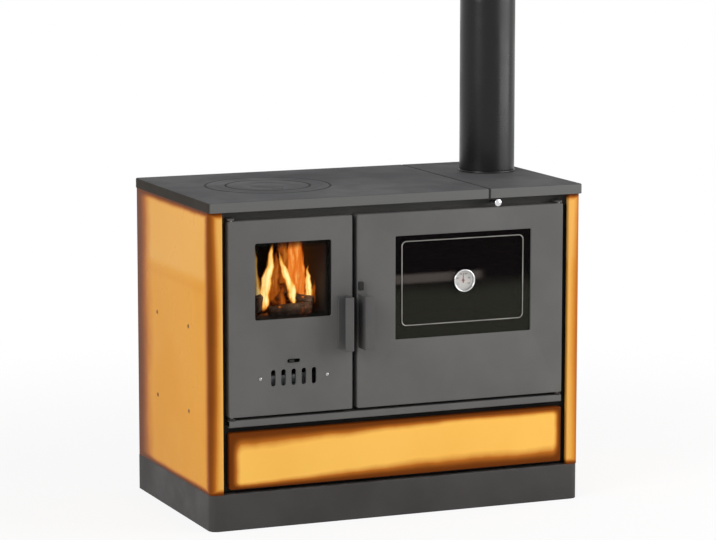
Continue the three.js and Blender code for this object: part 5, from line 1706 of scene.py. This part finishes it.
@dataclass
class Thermometer:
    """The round thermometer on the oven glass: case, dial with its scale, and lens."""

    palette: Palette
    body: str = "oven_door"
    wall: float = 0.002
    depth: float = 0.014
    stem: float = 0.004
    sweep: float = math.radians(240)
    marks: int = 25
    mark_margin: float = 0.0052
    numbers: tuple[int, ...] = (0, 100, 200, 300, 400, 500)
    number_size: float = 0.0052
    number_height: float = 0.00008
    number_margin: float = 0.0125

    def __post_init__(self) -> None:
        """Takes the axis, radius and levels from the case."""
        self.centre, self.radius, self.front, self.end = round_node("thermometer_case", Plane.XZ)

    def case(self) -> None:
        """Cup with a rolled bezel, turned about its axis; the stem runs through the glass."""
        radius, wall, stem, end = self.radius, self.wall, self.stem, self.end
        back, floor, bore = self.front + self.depth, self.front + self.depth - wall, radius - 2 * wall
        roll = [(radius - wall + wall * math.cos(t), self.front + wall - wall * math.sin(t))
                for t in np.linspace(math.pi, 0, 11)]
        profile = [(0.0, floor), (bore, floor), (bore, self.front + wall), *roll, (radius, back - 0.0005),
                   (radius - 0.0005, back), (stem, back), (stem, end - 0.001), (stem - 0.001, end),
                   (0.0, end)]
        piece = turned("thermometer_bezel", profile, self.centre, Plane.XZ)
        self.palette.fit(piece, self.body, "chrome", "thermometer_case")

    def turn(self, share: Any) -> Any:
        """The angle of a share of the scale, which runs clockwise and has its middle at the top."""
        return math.pi / 2 + self.sweep / 2 - self.sweep * share

    def ticks(self, level: float) -> None:
        """Scale marks: thin boxes at even turns, each fifth one longer and wider.

        Args:
            level: Level of the dial's face.
        """
        count = self.marks
        turn = self.turn(np.arange(count) / (count - 1))
        major = np.arange(count) % 5 == 0
        outer = np.full(count, self.radius - self.mark_margin)
        inner = outer - np.where(major, 0.0040, 0.0022)
        half = np.where(major, 0.00045, 0.00025)
        away = np.stack([np.cos(turn), np.sin(turn)], -1)
        across = np.stack([-away[:, 1], away[:, 0]], -1)
        ends = ((inner, -half), (outer, -half), (outer, half), (inner, half))
        corners = np.stack([reach[:, None] * away + off[:, None] * across for reach, off in ends], 1)
        flat = self.centre + corners.reshape(-1, 2)
        points = np.concatenate([in_plane(flat, level, Plane.XZ), in_plane(flat, level - 0.00015, Plane.XZ)])
        box = np.array([[0, 1, 2, 3], [7, 6, 5, 4], [4, 5, 1, 0], [5, 6, 2, 1], [6, 7, 3, 2], [7, 4, 0, 3]])
        shift = np.where(box >= 4, 4 * count - 4, 0)
        faces = (box[None] + shift[None] + 4 * np.arange(count)[:, None, None]).reshape(-1, 4)
        piece = new_piece("thermometer_scale", points, faces.tolist(), smooth=False)
        mount(piece, self.body, self.palette.ink)

    def figure(self, number: int, turn: float, level: float) -> Piece:
        """One plain number, as a thin raised print.

        Args:
            number: The number.
            turn: Its angle on the dial.
            level: Level of the dial's face.

        Returns:
            The number as a mesh object.
        """
        text = bpy.data.curves.new(f"figure_{number}", "FONT")
        text.body, text.size, text.extrude = str(number), self.number_size, self.number_height
        text.align_x, text.align_y = "CENTER", "CENTER"
        holder = bpy.data.objects.new(text.name, text)
        bpy.context.scene.collection.objects.link(holder)
        graph = bpy.context.evaluated_depsgraph_get()
        mesh = bpy.data.meshes.new_from_object(holder.evaluated_get(graph))
        bpy.data.objects.remove(holder)
        flat = np.empty(len(mesh.vertices) * 3)
        mesh.vertices.foreach_get("co", flat)
        across, up, raised = flat.reshape(-1, 3).T
        x, z = self.centre + (self.radius - self.number_margin) * np.array((math.cos(turn), math.sin(turn)))
        moved = np.stack([across + x, level - raised - self.number_height, up + z], -1)
        mesh.vertices.foreach_set("co", moved.ravel())
        return bpy.data.objects.new(text.name, mesh)

    def face(self) -> None:
        """Dial disc with a shallow dished rim, its scale and its numbers."""
        _, radius, front, back = round_node("thermometer_dial", Plane.XZ)
        radius, raised = radius - self.wall, front - 0.0006
        profile = [(0.0, front), (radius - 0.004, front), (radius - 0.001, raised), (radius, raised),
                   (radius, back), (0.0, back)]
        dial = turned("thermometer_face", profile, self.centre, Plane.XZ)
        self.palette.fit(dial, self.body, "dial_face", "thermometer_dial")
        self.ticks(front)
        shares = np.arange(len(self.numbers)) / (len(self.numbers) - 1)
        pieces = [self.figure(number, turn, front) for number, turn in zip(self.numbers, self.turn(shares))]
        mount(joined("thermometer_figures", pieces), self.body, self.palette.ink)

    def lens(self) -> None:
        """Watch-glass lens: both faces are crowned as 1 - (r / radius) ** 2, the outer one by 1 mm."""
        low, high = node_box("thermometer_lens")
        radius = (high[0] - low[0]) / 2 - 0.0022
        share = np.linspace(0, 1, 9)
        outer = [(radius * s, low[1] + 0.0002 - 0.0010 * (1 - s * s)) for s in share]
        inner = [(radius * s, low[1] + 0.0014 - 0.0008 * (1 - s * s)) for s in share[::-1]]
        pane = Pane("lens_glass", WHITE, WHITE, cover=0.02, sooty=0.0, low=low - 1.0, high=high + 1.0,
                    film_level=0.0)
        piece = turned("thermometer_watch_glass", outer + inner, self.centre, Plane.XZ)
        mount(piece, self.body, pane.build(), ["thermometer_lens"])

    def build(self) -> None:
        """Makes the thermometer's pieces."""
        self.case()
        self.face()
        self.lens()


@dataclass
class OvenDoor(Door):
    """The oven door, with the bright bead on its glass, the catch block and the thermometer."""

    bead_corner: float = 0.0125
    bead_half: float = 0.0016
    catch_corner: float = 0.002
    catch_edge: float = 0.0015
    # Painted highlight on the oven glass: a pale streak above the dial's middle, fading out this far to its
    # right.
    haze: Colour = screen(78, 72, 68)
    haze_rise: float = 0.0115
    haze_reach: float = 0.068

    def bead(self) -> None:
        """Bright half-round bead on the pane."""
        low, high = node_box("oven_glass_bead")
        half = self.bead_half
        piece = round_band("oven_glass_trim", low[[0, 2]] + half, high[[0, 2]] - half, self.bead_corner, half,
                           low[1] - high[1], high[1], Plane.XZ, False)
        self.palette.fit(piece, self.body, "bright_trim", "oven_glass_bead")

    def catch(self) -> None:
        """Catch block above the handle."""
        low, high = node_box("oven_catch_block")
        piece = pad("oven_catch_cap", low, high, self.catch_corner, self.catch_edge, Plane.XZ, -1)
        self.palette.fit(piece, self.body, "black_paint", "oven_catch_block")

    def build(self, frame: dict[str, Any]) -> None:
        """Makes the door's pieces.

        Args:
            frame: The loaded frame.
        """
        self.handle()
        self.seal()
        self.palette.fit(self.leaf(), self.body, "front_paint", self.body)
        thermometer = Thermometer(self.palette)
        x, z = thermometer.centre
        self.glaze(frame, "oven_glass", haze=self.haze, haze_level=z + self.haze_rise,
                   haze_end=x + self.haze_reach)
        self.bead()
        self.catch()
        thermometer.build()


# -------- drawer, rail and damper knob


@dataclass
class LowerFront:
    """Drawer front, the rail over it and the damper knob."""

    palette: Palette
    sheet: float = 0.002
    drawer_edge: float = 0.004
    drawer_corner: float = 0.005
    rail_bend: float = 0.003
    rail_edge: float = 0.0004
    knob_roll: float = 0.003

    def drawer(self) -> None:
        """Enamelled pressing, hollow behind, with a rounded edge all round."""
        low, high = node_box("drawer_front")
        front, back, wall = low[1], high[1], self.sheet
        outline = partial(rounded_loop, low[[0, 2]], high[[0, 2]], (self.drawer_corner,) * 4)
        steps = [(-wall, front + wall), (-wall, back), (-0.0004, back), (0.0, back - 0.0004),
                 (0.0, front + 0.010)]
        steps += round_over(self.drawer_edge, front, 1, False)
        # Brown round the drawer front, partly spray and partly painted shade; the top and bottom bands slant
        # along X as painted shade.
        bands = (Band(0, low[0], 1, 0.034), Band(0, high[0], -1, 0.027), Band(2, high[2], -1, 0.058, 0.024),
                 Band(2, low[2], 1, 0.022, 0.056))
        finish = SprayedEnamel("drawer_enamel", AMBER_LIT_FRONT, bands).build()
        piece = lofted("drawer_pressing", [in_plane(outline(g), y, Plane.XZ) for g, y in steps])
        mount(piece, "drawer", finish, ["drawer_front"])

    def rail(self) -> None:
        """Folded channel between the doors and the drawer."""
        low, high = node_box("mid_rail")
        section = folded_section([(high[1], high[2]), (low[1], high[2]), (low[1], low[2]), (high[1], low[2])],
                                 (self.rail_bend,) * 2, self.sheet, 1)
        piece = softened(extruded("front_rail", section, low[0], high[0], Plane.YZ), self.rail_edge, 1)
        self.palette.fit(piece, "stove", "front_paint", "mid_rail")

    def knob(self) -> None:
        """Turned knob: a crowned face, a rolled rim and a waisted neck."""
        centre, radius, front, end = round_node("damper_knob", Plane.XZ)
        roll, middle = self.knob_roll, front + self.knob_roll + 0.0013
        turn = np.linspace(0, math.pi, 9)
        rim = [(radius - roll + roll * math.sin(t), middle - roll * math.cos(t)) for t in turn]
        profile = [(0.0, front), (radius * 0.45, front + 0.0003), *rim, (0.0060, front + 0.0095),
                   (0.0052, front + 0.0120), (0.0055, end), (0.0, end)]
        piece = turned("damper_pull", profile, centre, Plane.XZ, 64)
        self.palette.fit(piece, "damper", "chrome", "damper_knob")

    def build(self) -> None:
        """Makes the pieces of the lower front."""
        self.drawer()
        self.rail()
        self.knob()


# -------- fire


def ripple(along: Array, round_it: Array, seed: int) -> Array:
    """Smooth noise: a sum of five sines of both parameters, with seeded phases, about within -1 and 1.

    Args:
        along: First parameter.
        round_it: Second parameter, in radians, so that the noise closes on itself.
        seed: Seed of the phases.

    Returns:
        The noise, shaped as the parameters.
    """
    chance = np.random.default_rng(seed)
    total = np.zeros(np.broadcast(along, round_it).shape)
    for order in range(1, 6):
        turns = chance.integers(1, 3 + order)
        pace = chance.uniform(1.5, 4.0)
        phase = chance.uniform(0, 6.28)
        total = total + np.sin(along * order * pace + turns * round_it + phase) / order
    return total / 2.3


def split_log(name: str, start: Array, end: Array, radius: float, roll: float, seed: int) -> Piece:
    """A split log: a rounded three-sided section carried from one end to the other.

    The section's radius is R * (0.86 + 0.14 cos 3(t - roll)) with ripples along and round it.

    Args:
        name: Name of the piece.
        start: One end.
        end: The other end.
        radius: Radius of the log.
        roll: Turn of its section.
        seed: Seed of its ripples.

    Returns:
        The piece.
    """
    axis = (end - start) / np.linalg.norm(end - start)
    side = np.cross(axis, (0.0, 0.0, 1.0))
    side /= np.linalg.norm(side)
    up = np.cross(side, axis)
    rows, columns = 34, 40
    s = np.linspace(0, 1, rows)[:, None]
    t = np.linspace(0, 2 * math.pi, columns, endpoint=False)[None, :]
    ends = np.clip(np.minimum(s, 1 - s) / 0.02, 0, 1) ** 0.5
    rough = 1 + 0.10 * ripple(6 * s, t, seed) + 0.04 * ripple(30 * s, 5 * t, seed + 1)
    size = radius * (0.86 + 0.14 * np.cos(3 * (t - roll))) * rough * (0.72 + 0.28 * ends)
    path = start + s[..., None] * (end - start) + 0.05 * radius * np.sin(9 * s)[..., None] * side
    points = path + size[..., None] * (np.cos(t)[..., None] * side + np.sin(t)[..., None] * up)
    return lofted(name, list(points))


def flame_tongue(name: str, foot: Array, height: float, width: float, lean: float, seed: int) -> Piece:
    """A tongue of flame: a flat lens that sways as it rises.

    At a share v of its height its half width is w / 2 * (0.06 + sin(pi v ** 0.62) ** 0.85). Its UV map holds
    U across the lens and V up it.

    Args:
        name: Name of the piece.
        foot: Middle of its foot.
        height: Its height.
        width: Its greatest width.
        lean: How far its tip leans to the right.
        seed: Seed of its sway.

    Returns:
        The piece.
    """
    rows, columns = 30, 20
    v = np.linspace(0.0, 1.0, rows)[:, None]
    t = np.linspace(0, 2 * math.pi, columns, endpoint=False)[None, :]
    half = width / 2 * (0.06 + np.sin(math.pi * np.clip(v, 0.0, 0.985) ** 0.62) ** 0.85)
    sway = lean * v ** 1.5 + 0.14 * width * ripple(3.4 * v, 0 * v, seed)
    x = foot[0] + sway + half * np.cos(t)
    y = foot[1] + 0.30 * half * np.sin(t) + 0.10 * width * np.sin(4 * v + seed) + 0 * t
    z = foot[2] + height * v + 0 * t
    piece = lofted(name, list(np.stack([x, y, z], -1)))
    across = np.tile((np.cos(t) + 1).ravel() / 2, rows)
    upward = np.repeat(v.ravel(), columns)
    layer = piece.data.uv_layers.new(name=FLAME_LAYOUT)
    corner = np.empty(len(piece.data.loops), int)
    piece.data.loops.foreach_get("vertex_index", corner)
    layer.data.foreach_set("uv", np.stack([across[corner], upward[corner]], -1).ravel())
    return piece


def lumps(name: str, centres: Array, sizes: Array, seed: int) -> Piece:
    """Coals: small closed lumps whose radius is r * (1 + 0.28 ripple), as one mesh.

    Args:
        name: Name of the piece.
        centres: Centres as an (n, 3) array.
        sizes: Radii.
        seed: Seed of their forms.

    Returns:
        The piece.
    """
    rows, columns = 7, 10
    p = np.linspace(0.001, math.pi - 0.001, rows)[None, :, None]
    t = np.linspace(0, 2 * math.pi, columns, endpoint=False)[None, None, :]
    shift = np.arange(len(centres))[:, None, None] * 1.7
    turn = t + shift
    radius = sizes[:, None, None] * (1 + 0.28 * ripple(p * 1.6 + shift, turn, seed))
    ball = np.stack([np.sin(p) * np.cos(turn), 0.8 * np.sin(p) * np.sin(turn), 0.7 * np.cos(p) + 0 * turn],
                    -1)
    points = centres[:, None, None, :] + radius[..., None] * ball
    count = rows * columns
    caps = [list(range(columns))[::-1], list(range(count - columns, count))]
    one = grid_faces(rows, columns, False) + caps
    faces = [[v + k * count for v in face] for k in range(len(centres)) for face in one]
    return new_piece(name, points.reshape(-1, 3), faces)


@dataclass(frozen=True)
class Tongue:
    """Where a tongue of flame shows in the window, and how it stands.

    Attributes:
        across: Its foot across the window, from 0 at the left to 1 at the right.
        tip: Its tip across the window.
        bottom: Its foot up the window, from 0 to 1.
        top: Its tip up the window.
        width: Its greatest width as a share of the window's.
        back: How far it stands behind the glass.
        kind: Which of the flames' materials it has.
    """

    across: float
    tip: float
    bottom: float
    top: float
    width: float
    back: float
    kind: int


@dataclass(frozen=True)
class Log:
    """A split log.

    Attributes:
        start: One end as x, y and its height over the grate.
        end: The other end, likewise.
        radius: Its radius.
        roll: Turn of its section.
    """

    start: Point
    end: Point
    radius: float
    roll: float


@dataclass
class Fire:
    """Burning logs on the grate: embers, split logs and tongues of flame."""

    palette: Palette
    tongues: tuple[Tongue, ...] = (
        Tongue(0.05, 0.02, 0.20, 0.98, 0.13, 0.080, 0),
        Tongue(0.13, 0.29, 0.08, 1.02, 0.17, 0.110, 0),
        Tongue(0.50, 0.30, 0.14, 0.88, 0.15, 0.100, 0),
        Tongue(0.69, 0.69, 0.10, 0.68, 0.13, 0.090, 0),
        Tongue(0.26, 0.28, 0.12, 0.86, 0.26, 0.180, 2),
        Tongue(0.38, 0.36, 0.25, 1.28, 0.22, 0.215, 2),
        Tongue(0.55, 0.54, 0.20, 1.34, 0.26, 0.200, 1),
        Tongue(0.47, 0.46, 0.26, 1.20, 0.14, 0.160, 1),
        Tongue(0.61, 0.60, 0.08, 1.00, 0.12, 0.120, 1),
        Tongue(0.16, 0.19, 0.10, 0.58, 0.16, 0.140, 1),
        Tongue(0.37, 0.37, 0.06, 0.46, 0.14, 0.085, 2),
        Tongue(0.78, 0.76, 0.10, 0.56, 0.14, 0.110, 2),
        Tongue(0.87, 0.86, 0.08, 0.34, 0.10, 0.100, 2),
    )
    logs: tuple[Log, ...] = (
        Log((-0.396, -0.190, 0.050), (-0.210, -0.170, 0.054), 0.034, 0.4),
        Log((-0.236, -0.195, 0.056), (-0.300, 0.080, 0.060), 0.030, 1.2),
        Log((-0.376, -0.020, 0.066), (-0.222, -0.090, 0.120), 0.030, 2.0),
        Log((-0.372, -0.200, 0.112), (-0.262, 0.040, 0.108), 0.026, 0.9),
        Log((-0.330, -0.196, 0.088), (-0.214, -0.204, 0.096), 0.018, 2.6),
        Log((-0.268, -0.150, 0.118), (-0.208, -0.204, 0.112), 0.013, 0.3),
    )
    sight: Pair = (0.416, -0.10)
    coal_count: int = 80
    coal_sizes: Pair = (0.008, 0.017)
    coal_pile: float = 0.014

    def behind(self, low: Array, high: Array, across: float, up: float, back: float) -> Array:
        """A place behind the glass, along the photograph's line of sight.

        Args:
            low: Low corner of the glass.
            high: High corner of the glass.
            across: Where it shows across the window, from 0 to 1.
            up: Where it shows up the window, from 0 to 1.
            back: How far it lies behind the glass.

        Returns:
            The place.
        """
        x = low[0] + across * (high[0] - low[0]) + self.sight[0] * back
        z = low[2] + up * (high[2] - low[2]) + self.sight[1] * back
        return np.array((x, high[1] + back, z))

    def flames(self) -> None:
        """Sets the tongues of flame behind the window."""
        low, high = node_box("firebox_glass")
        for number, tongue in enumerate(self.tongues):
            foot = self.behind(low, high, tongue.across, tongue.bottom, tongue.back)
            tip = self.behind(low, high, tongue.tip, tongue.top, tongue.back)
            lean, _, height = tip - foot
            width = tongue.width * (high[0] - low[0])
            piece = flame_tongue(f"flame_{number}", foot, height, width, lean, 40 + number)
            mount(piece, "stove", self.palette.flames[tongue.kind])

    def coals(self, low: Array, high: Array) -> None:
        """Scatters embers over the grate.

        Args:
            low: Low corner of the grate.
            high: High corner of the grate.
        """
        chance = np.random.default_rng(11)
        count = self.coal_count
        corners = (low[:2] + (0.022, 0.030), high[:2] - (0.022, 0.06))
        spread = chance.uniform(*corners, (count, 2))
        sizes = chance.uniform(*self.coal_sizes, count)
        level = high[2] + sizes * 0.62 + chance.uniform(0, self.coal_pile, count)
        mount(lumps("embers", np.column_stack([spread, level]), sizes, 5), "stove", self.palette.ember)

    def build(self) -> None:
        """Makes the embers, the logs and the flames, set down on the grate."""
        low, high = node_box("grate")
        self.coals(low, high)
        lift = np.array((0.0, 0.0, high[2]))
        for number, log in enumerate(self.logs):
            piece = split_log(f"split_log_{number}", lift + log.start, lift + log.end, log.radius, log.roll,
                              20 + number)
            mount(piece, "stove", self.palette.log)
        self.flames()


# -------- studio


@dataclass
class Studio:
    """Pale floor, white surroundings, soft lamps and the camera of the photograph."""

    camera_place: Point = (-3.23597, -7.75893, 1.89791)
    camera_turn: Point = (1.41872, 0.0, -0.39539)
    lens: float = 160.0
    ambient: float = 0.43
    rings: tuple[float, ...] = (0.0001, 1.5, 3.0, 6.0, 12.0, 40.0)
    clear_floor: Pair = (0.9, 2.6)

    def camera(self) -> None:
        """The camera, without depth of field."""
        data = bpy.data.cameras.new("photo_camera")
        data.lens, data.sensor_width, data.sensor_fit = self.lens, 36.0, "HORIZONTAL"
        data.clip_end = 200.0
        camera = bpy.data.objects.new("photo_camera", data)
        camera.location, camera.rotation_euler = self.camera_place, self.camera_turn
        bpy.context.scene.collection.objects.link(camera)
        bpy.context.scene.camera = camera

    def seen(self, graph: Graph) -> Socket:
        """1 for rays that show the background itself or mirror it, 0 for rays that light things."""
        path = graph.add("ShaderNodeLightPath")
        shown = graph.math("MAXIMUM", path.outputs["Is Camera Ray"], path.outputs["Is Glossy Ray"])
        return graph.math("MAXIMUM", shown, path.outputs["Is Transmission Ray"])

    def surroundings(self) -> None:
        """A world that is white to look at and gives a plain level of light."""
        world = bpy.data.worlds.new("studio")
        world.use_nodes = True
        world.node_tree.nodes.clear()
        graph = Graph(world.node_tree)
        shade = graph.add("ShaderNodeBackground")
        shade.inputs["Color"].default_value = WHITE
        graph.link(graph.spread(self.seen(graph), 0.0, 1.0, self.ambient, 1.0), shade.inputs["Strength"])
        graph.link(shade.outputs[0], graph.add("ShaderNodeOutputWorld").inputs["Surface"])
        bpy.context.scene.world = world

    def floor(self) -> None:
        """A wide pale floor that keeps the stove's shadow: a disc of rings about the origin."""
        radius = np.array(self.rings)[:, None]
        turn = np.linspace(0, 2 * math.pi, 64, endpoint=False)[None, :]
        points = np.stack([radius * np.cos(turn), radius * np.sin(turn), 0 * radius * turn], -1)
        faces = [face[::-1] for face in grid_faces(len(self.rings), 64, False)]
        mesh = bpy.data.meshes.new("studio_floor")
        mesh.from_pydata(points.reshape(-1, 3).tolist(), [], faces)
        piece = bpy.data.objects.new("studio_floor", mesh)
        bpy.context.scene.collection.objects.link(piece)
        shader = Shader("studio_floor", Base_Color=(0.95, 0.95, 0.95, 1.0), Roughness=0.9,
                        Specular_IOR_Level=0.1)
        places = shader.axes()
        far = shader.math("SQRT", shader.math("ADD", shader.math("POWER", places["X"], 2.0),
                                              shader.math("POWER", places["Y"], 2.0)))
        glow = shader.add("ShaderNodeEmission")
        glow.inputs["Color"].default_value = WHITE
        mixed = shader.add("ShaderNodeMixShader")
        white = shader.spread(far, *self.clear_floor, 0.86, 1.0, smooth=True)
        share = shader.math("MULTIPLY", self.seen(shader), white)
        shader.link(share, mixed.inputs["Fac"])
        shader.link(shader.surface.outputs[0], mixed.inputs[1])
        shader.link(glow.outputs[0], mixed.inputs[2])
        shader.link(mixed.outputs[0], shader.output.inputs["Surface"])
        mesh.materials.append(shader.material)

    def lamp(self, name: str, place: Sequence[float], aim: Sequence[float], size: Pair,
             power: float) -> None:
        """A soft rectangular lamp aimed at a point.

        Args:
            name: Its name.
            place: Where it stands.
            aim: The point that it shines at.
            size: Its width and height.
            power: Its power in watts.
        """
        data = bpy.data.lights.new(name, "AREA")
        data.shape, data.size, data.size_y, data.energy = "RECTANGLE", size[0], size[1], power
        lamp = bpy.data.objects.new(name, data)
        lamp.location = place
        way = np.array(aim, float) - np.array(place, float)
        flat = math.hypot(way[0], way[1])
        lamp.rotation_euler = (math.atan2(flat, -way[2]), 0.0, math.atan2(way[1], way[0]) - math.pi / 2)
        bpy.context.scene.collection.objects.link(lamp)

    def build(self) -> None:
        """Makes the studio."""
        self.camera()
        self.surroundings()
        self.floor()
        self.lamp("key_lamp", place=(-4.8, -2.6, 2.8), aim=(0.0, 0.0, 0.5), size=(2.4, 2.4), power=152.0)
        self.lamp("right_lamp", place=(2.5, -1.55, 1.5), aim=(0.415, 0.0, 1.0), size=(2.4, 1.8), power=56.0)


# -------- assembly


def dress_all(frame: dict[str, Any], palette: Palette) -> None:
    """Gives every frame node the finish of its slot in the record.

    Args:
        frame: The loaded frame.
        palette: The finishes.
    """
    for part in frame["record"]["subparts"]:
        finish = palette.slots.get(part["material_slot"])
        if finish:
            dress(frame["nodes"][part["node"]], finish)
    dress(frame["nodes"]["front_frame"], palette.frame)


def main() -> None:
    """Builds the stove's surfaces on the frame, then the studio round it."""
    logging.basicConfig(level=logging.INFO, format="%(name)s: %(message)s")
    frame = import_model()
    palette = Palette()
    dress_all(frame, palette)
    Casing(palette).build()
    CookingTop(palette).build()
    FireboxDoor(palette, "firebox", handle_side=-1, window_corner=0.006, pane_tint=screen(14, 13, 12),
                pane_smoke=screen(30, 27, 24), pane_cover=0.06, pane_soot=0.60, film_level=0.54).build(frame)
    # The oven pane's paler lower colour is a painted reflection, and its door carries the painted highlight
    # streak.
    OvenDoor(palette, "oven", handle_side=1, window_corner=0.003, pane_tint=screen(10, 6, 7),
             pane_smoke=screen(42, 42, 36), pane_cover=0.72, pane_soot=0.12, film_level=0.598).build(frame)
    LowerFront(palette).build()
    Fire(palette).build()
    Studio().build()
    bpy.context.scene.view_settings.view_transform = "Standard"
    bpy.context.view_layer.update()


if __name__ == "__main__":
    main()
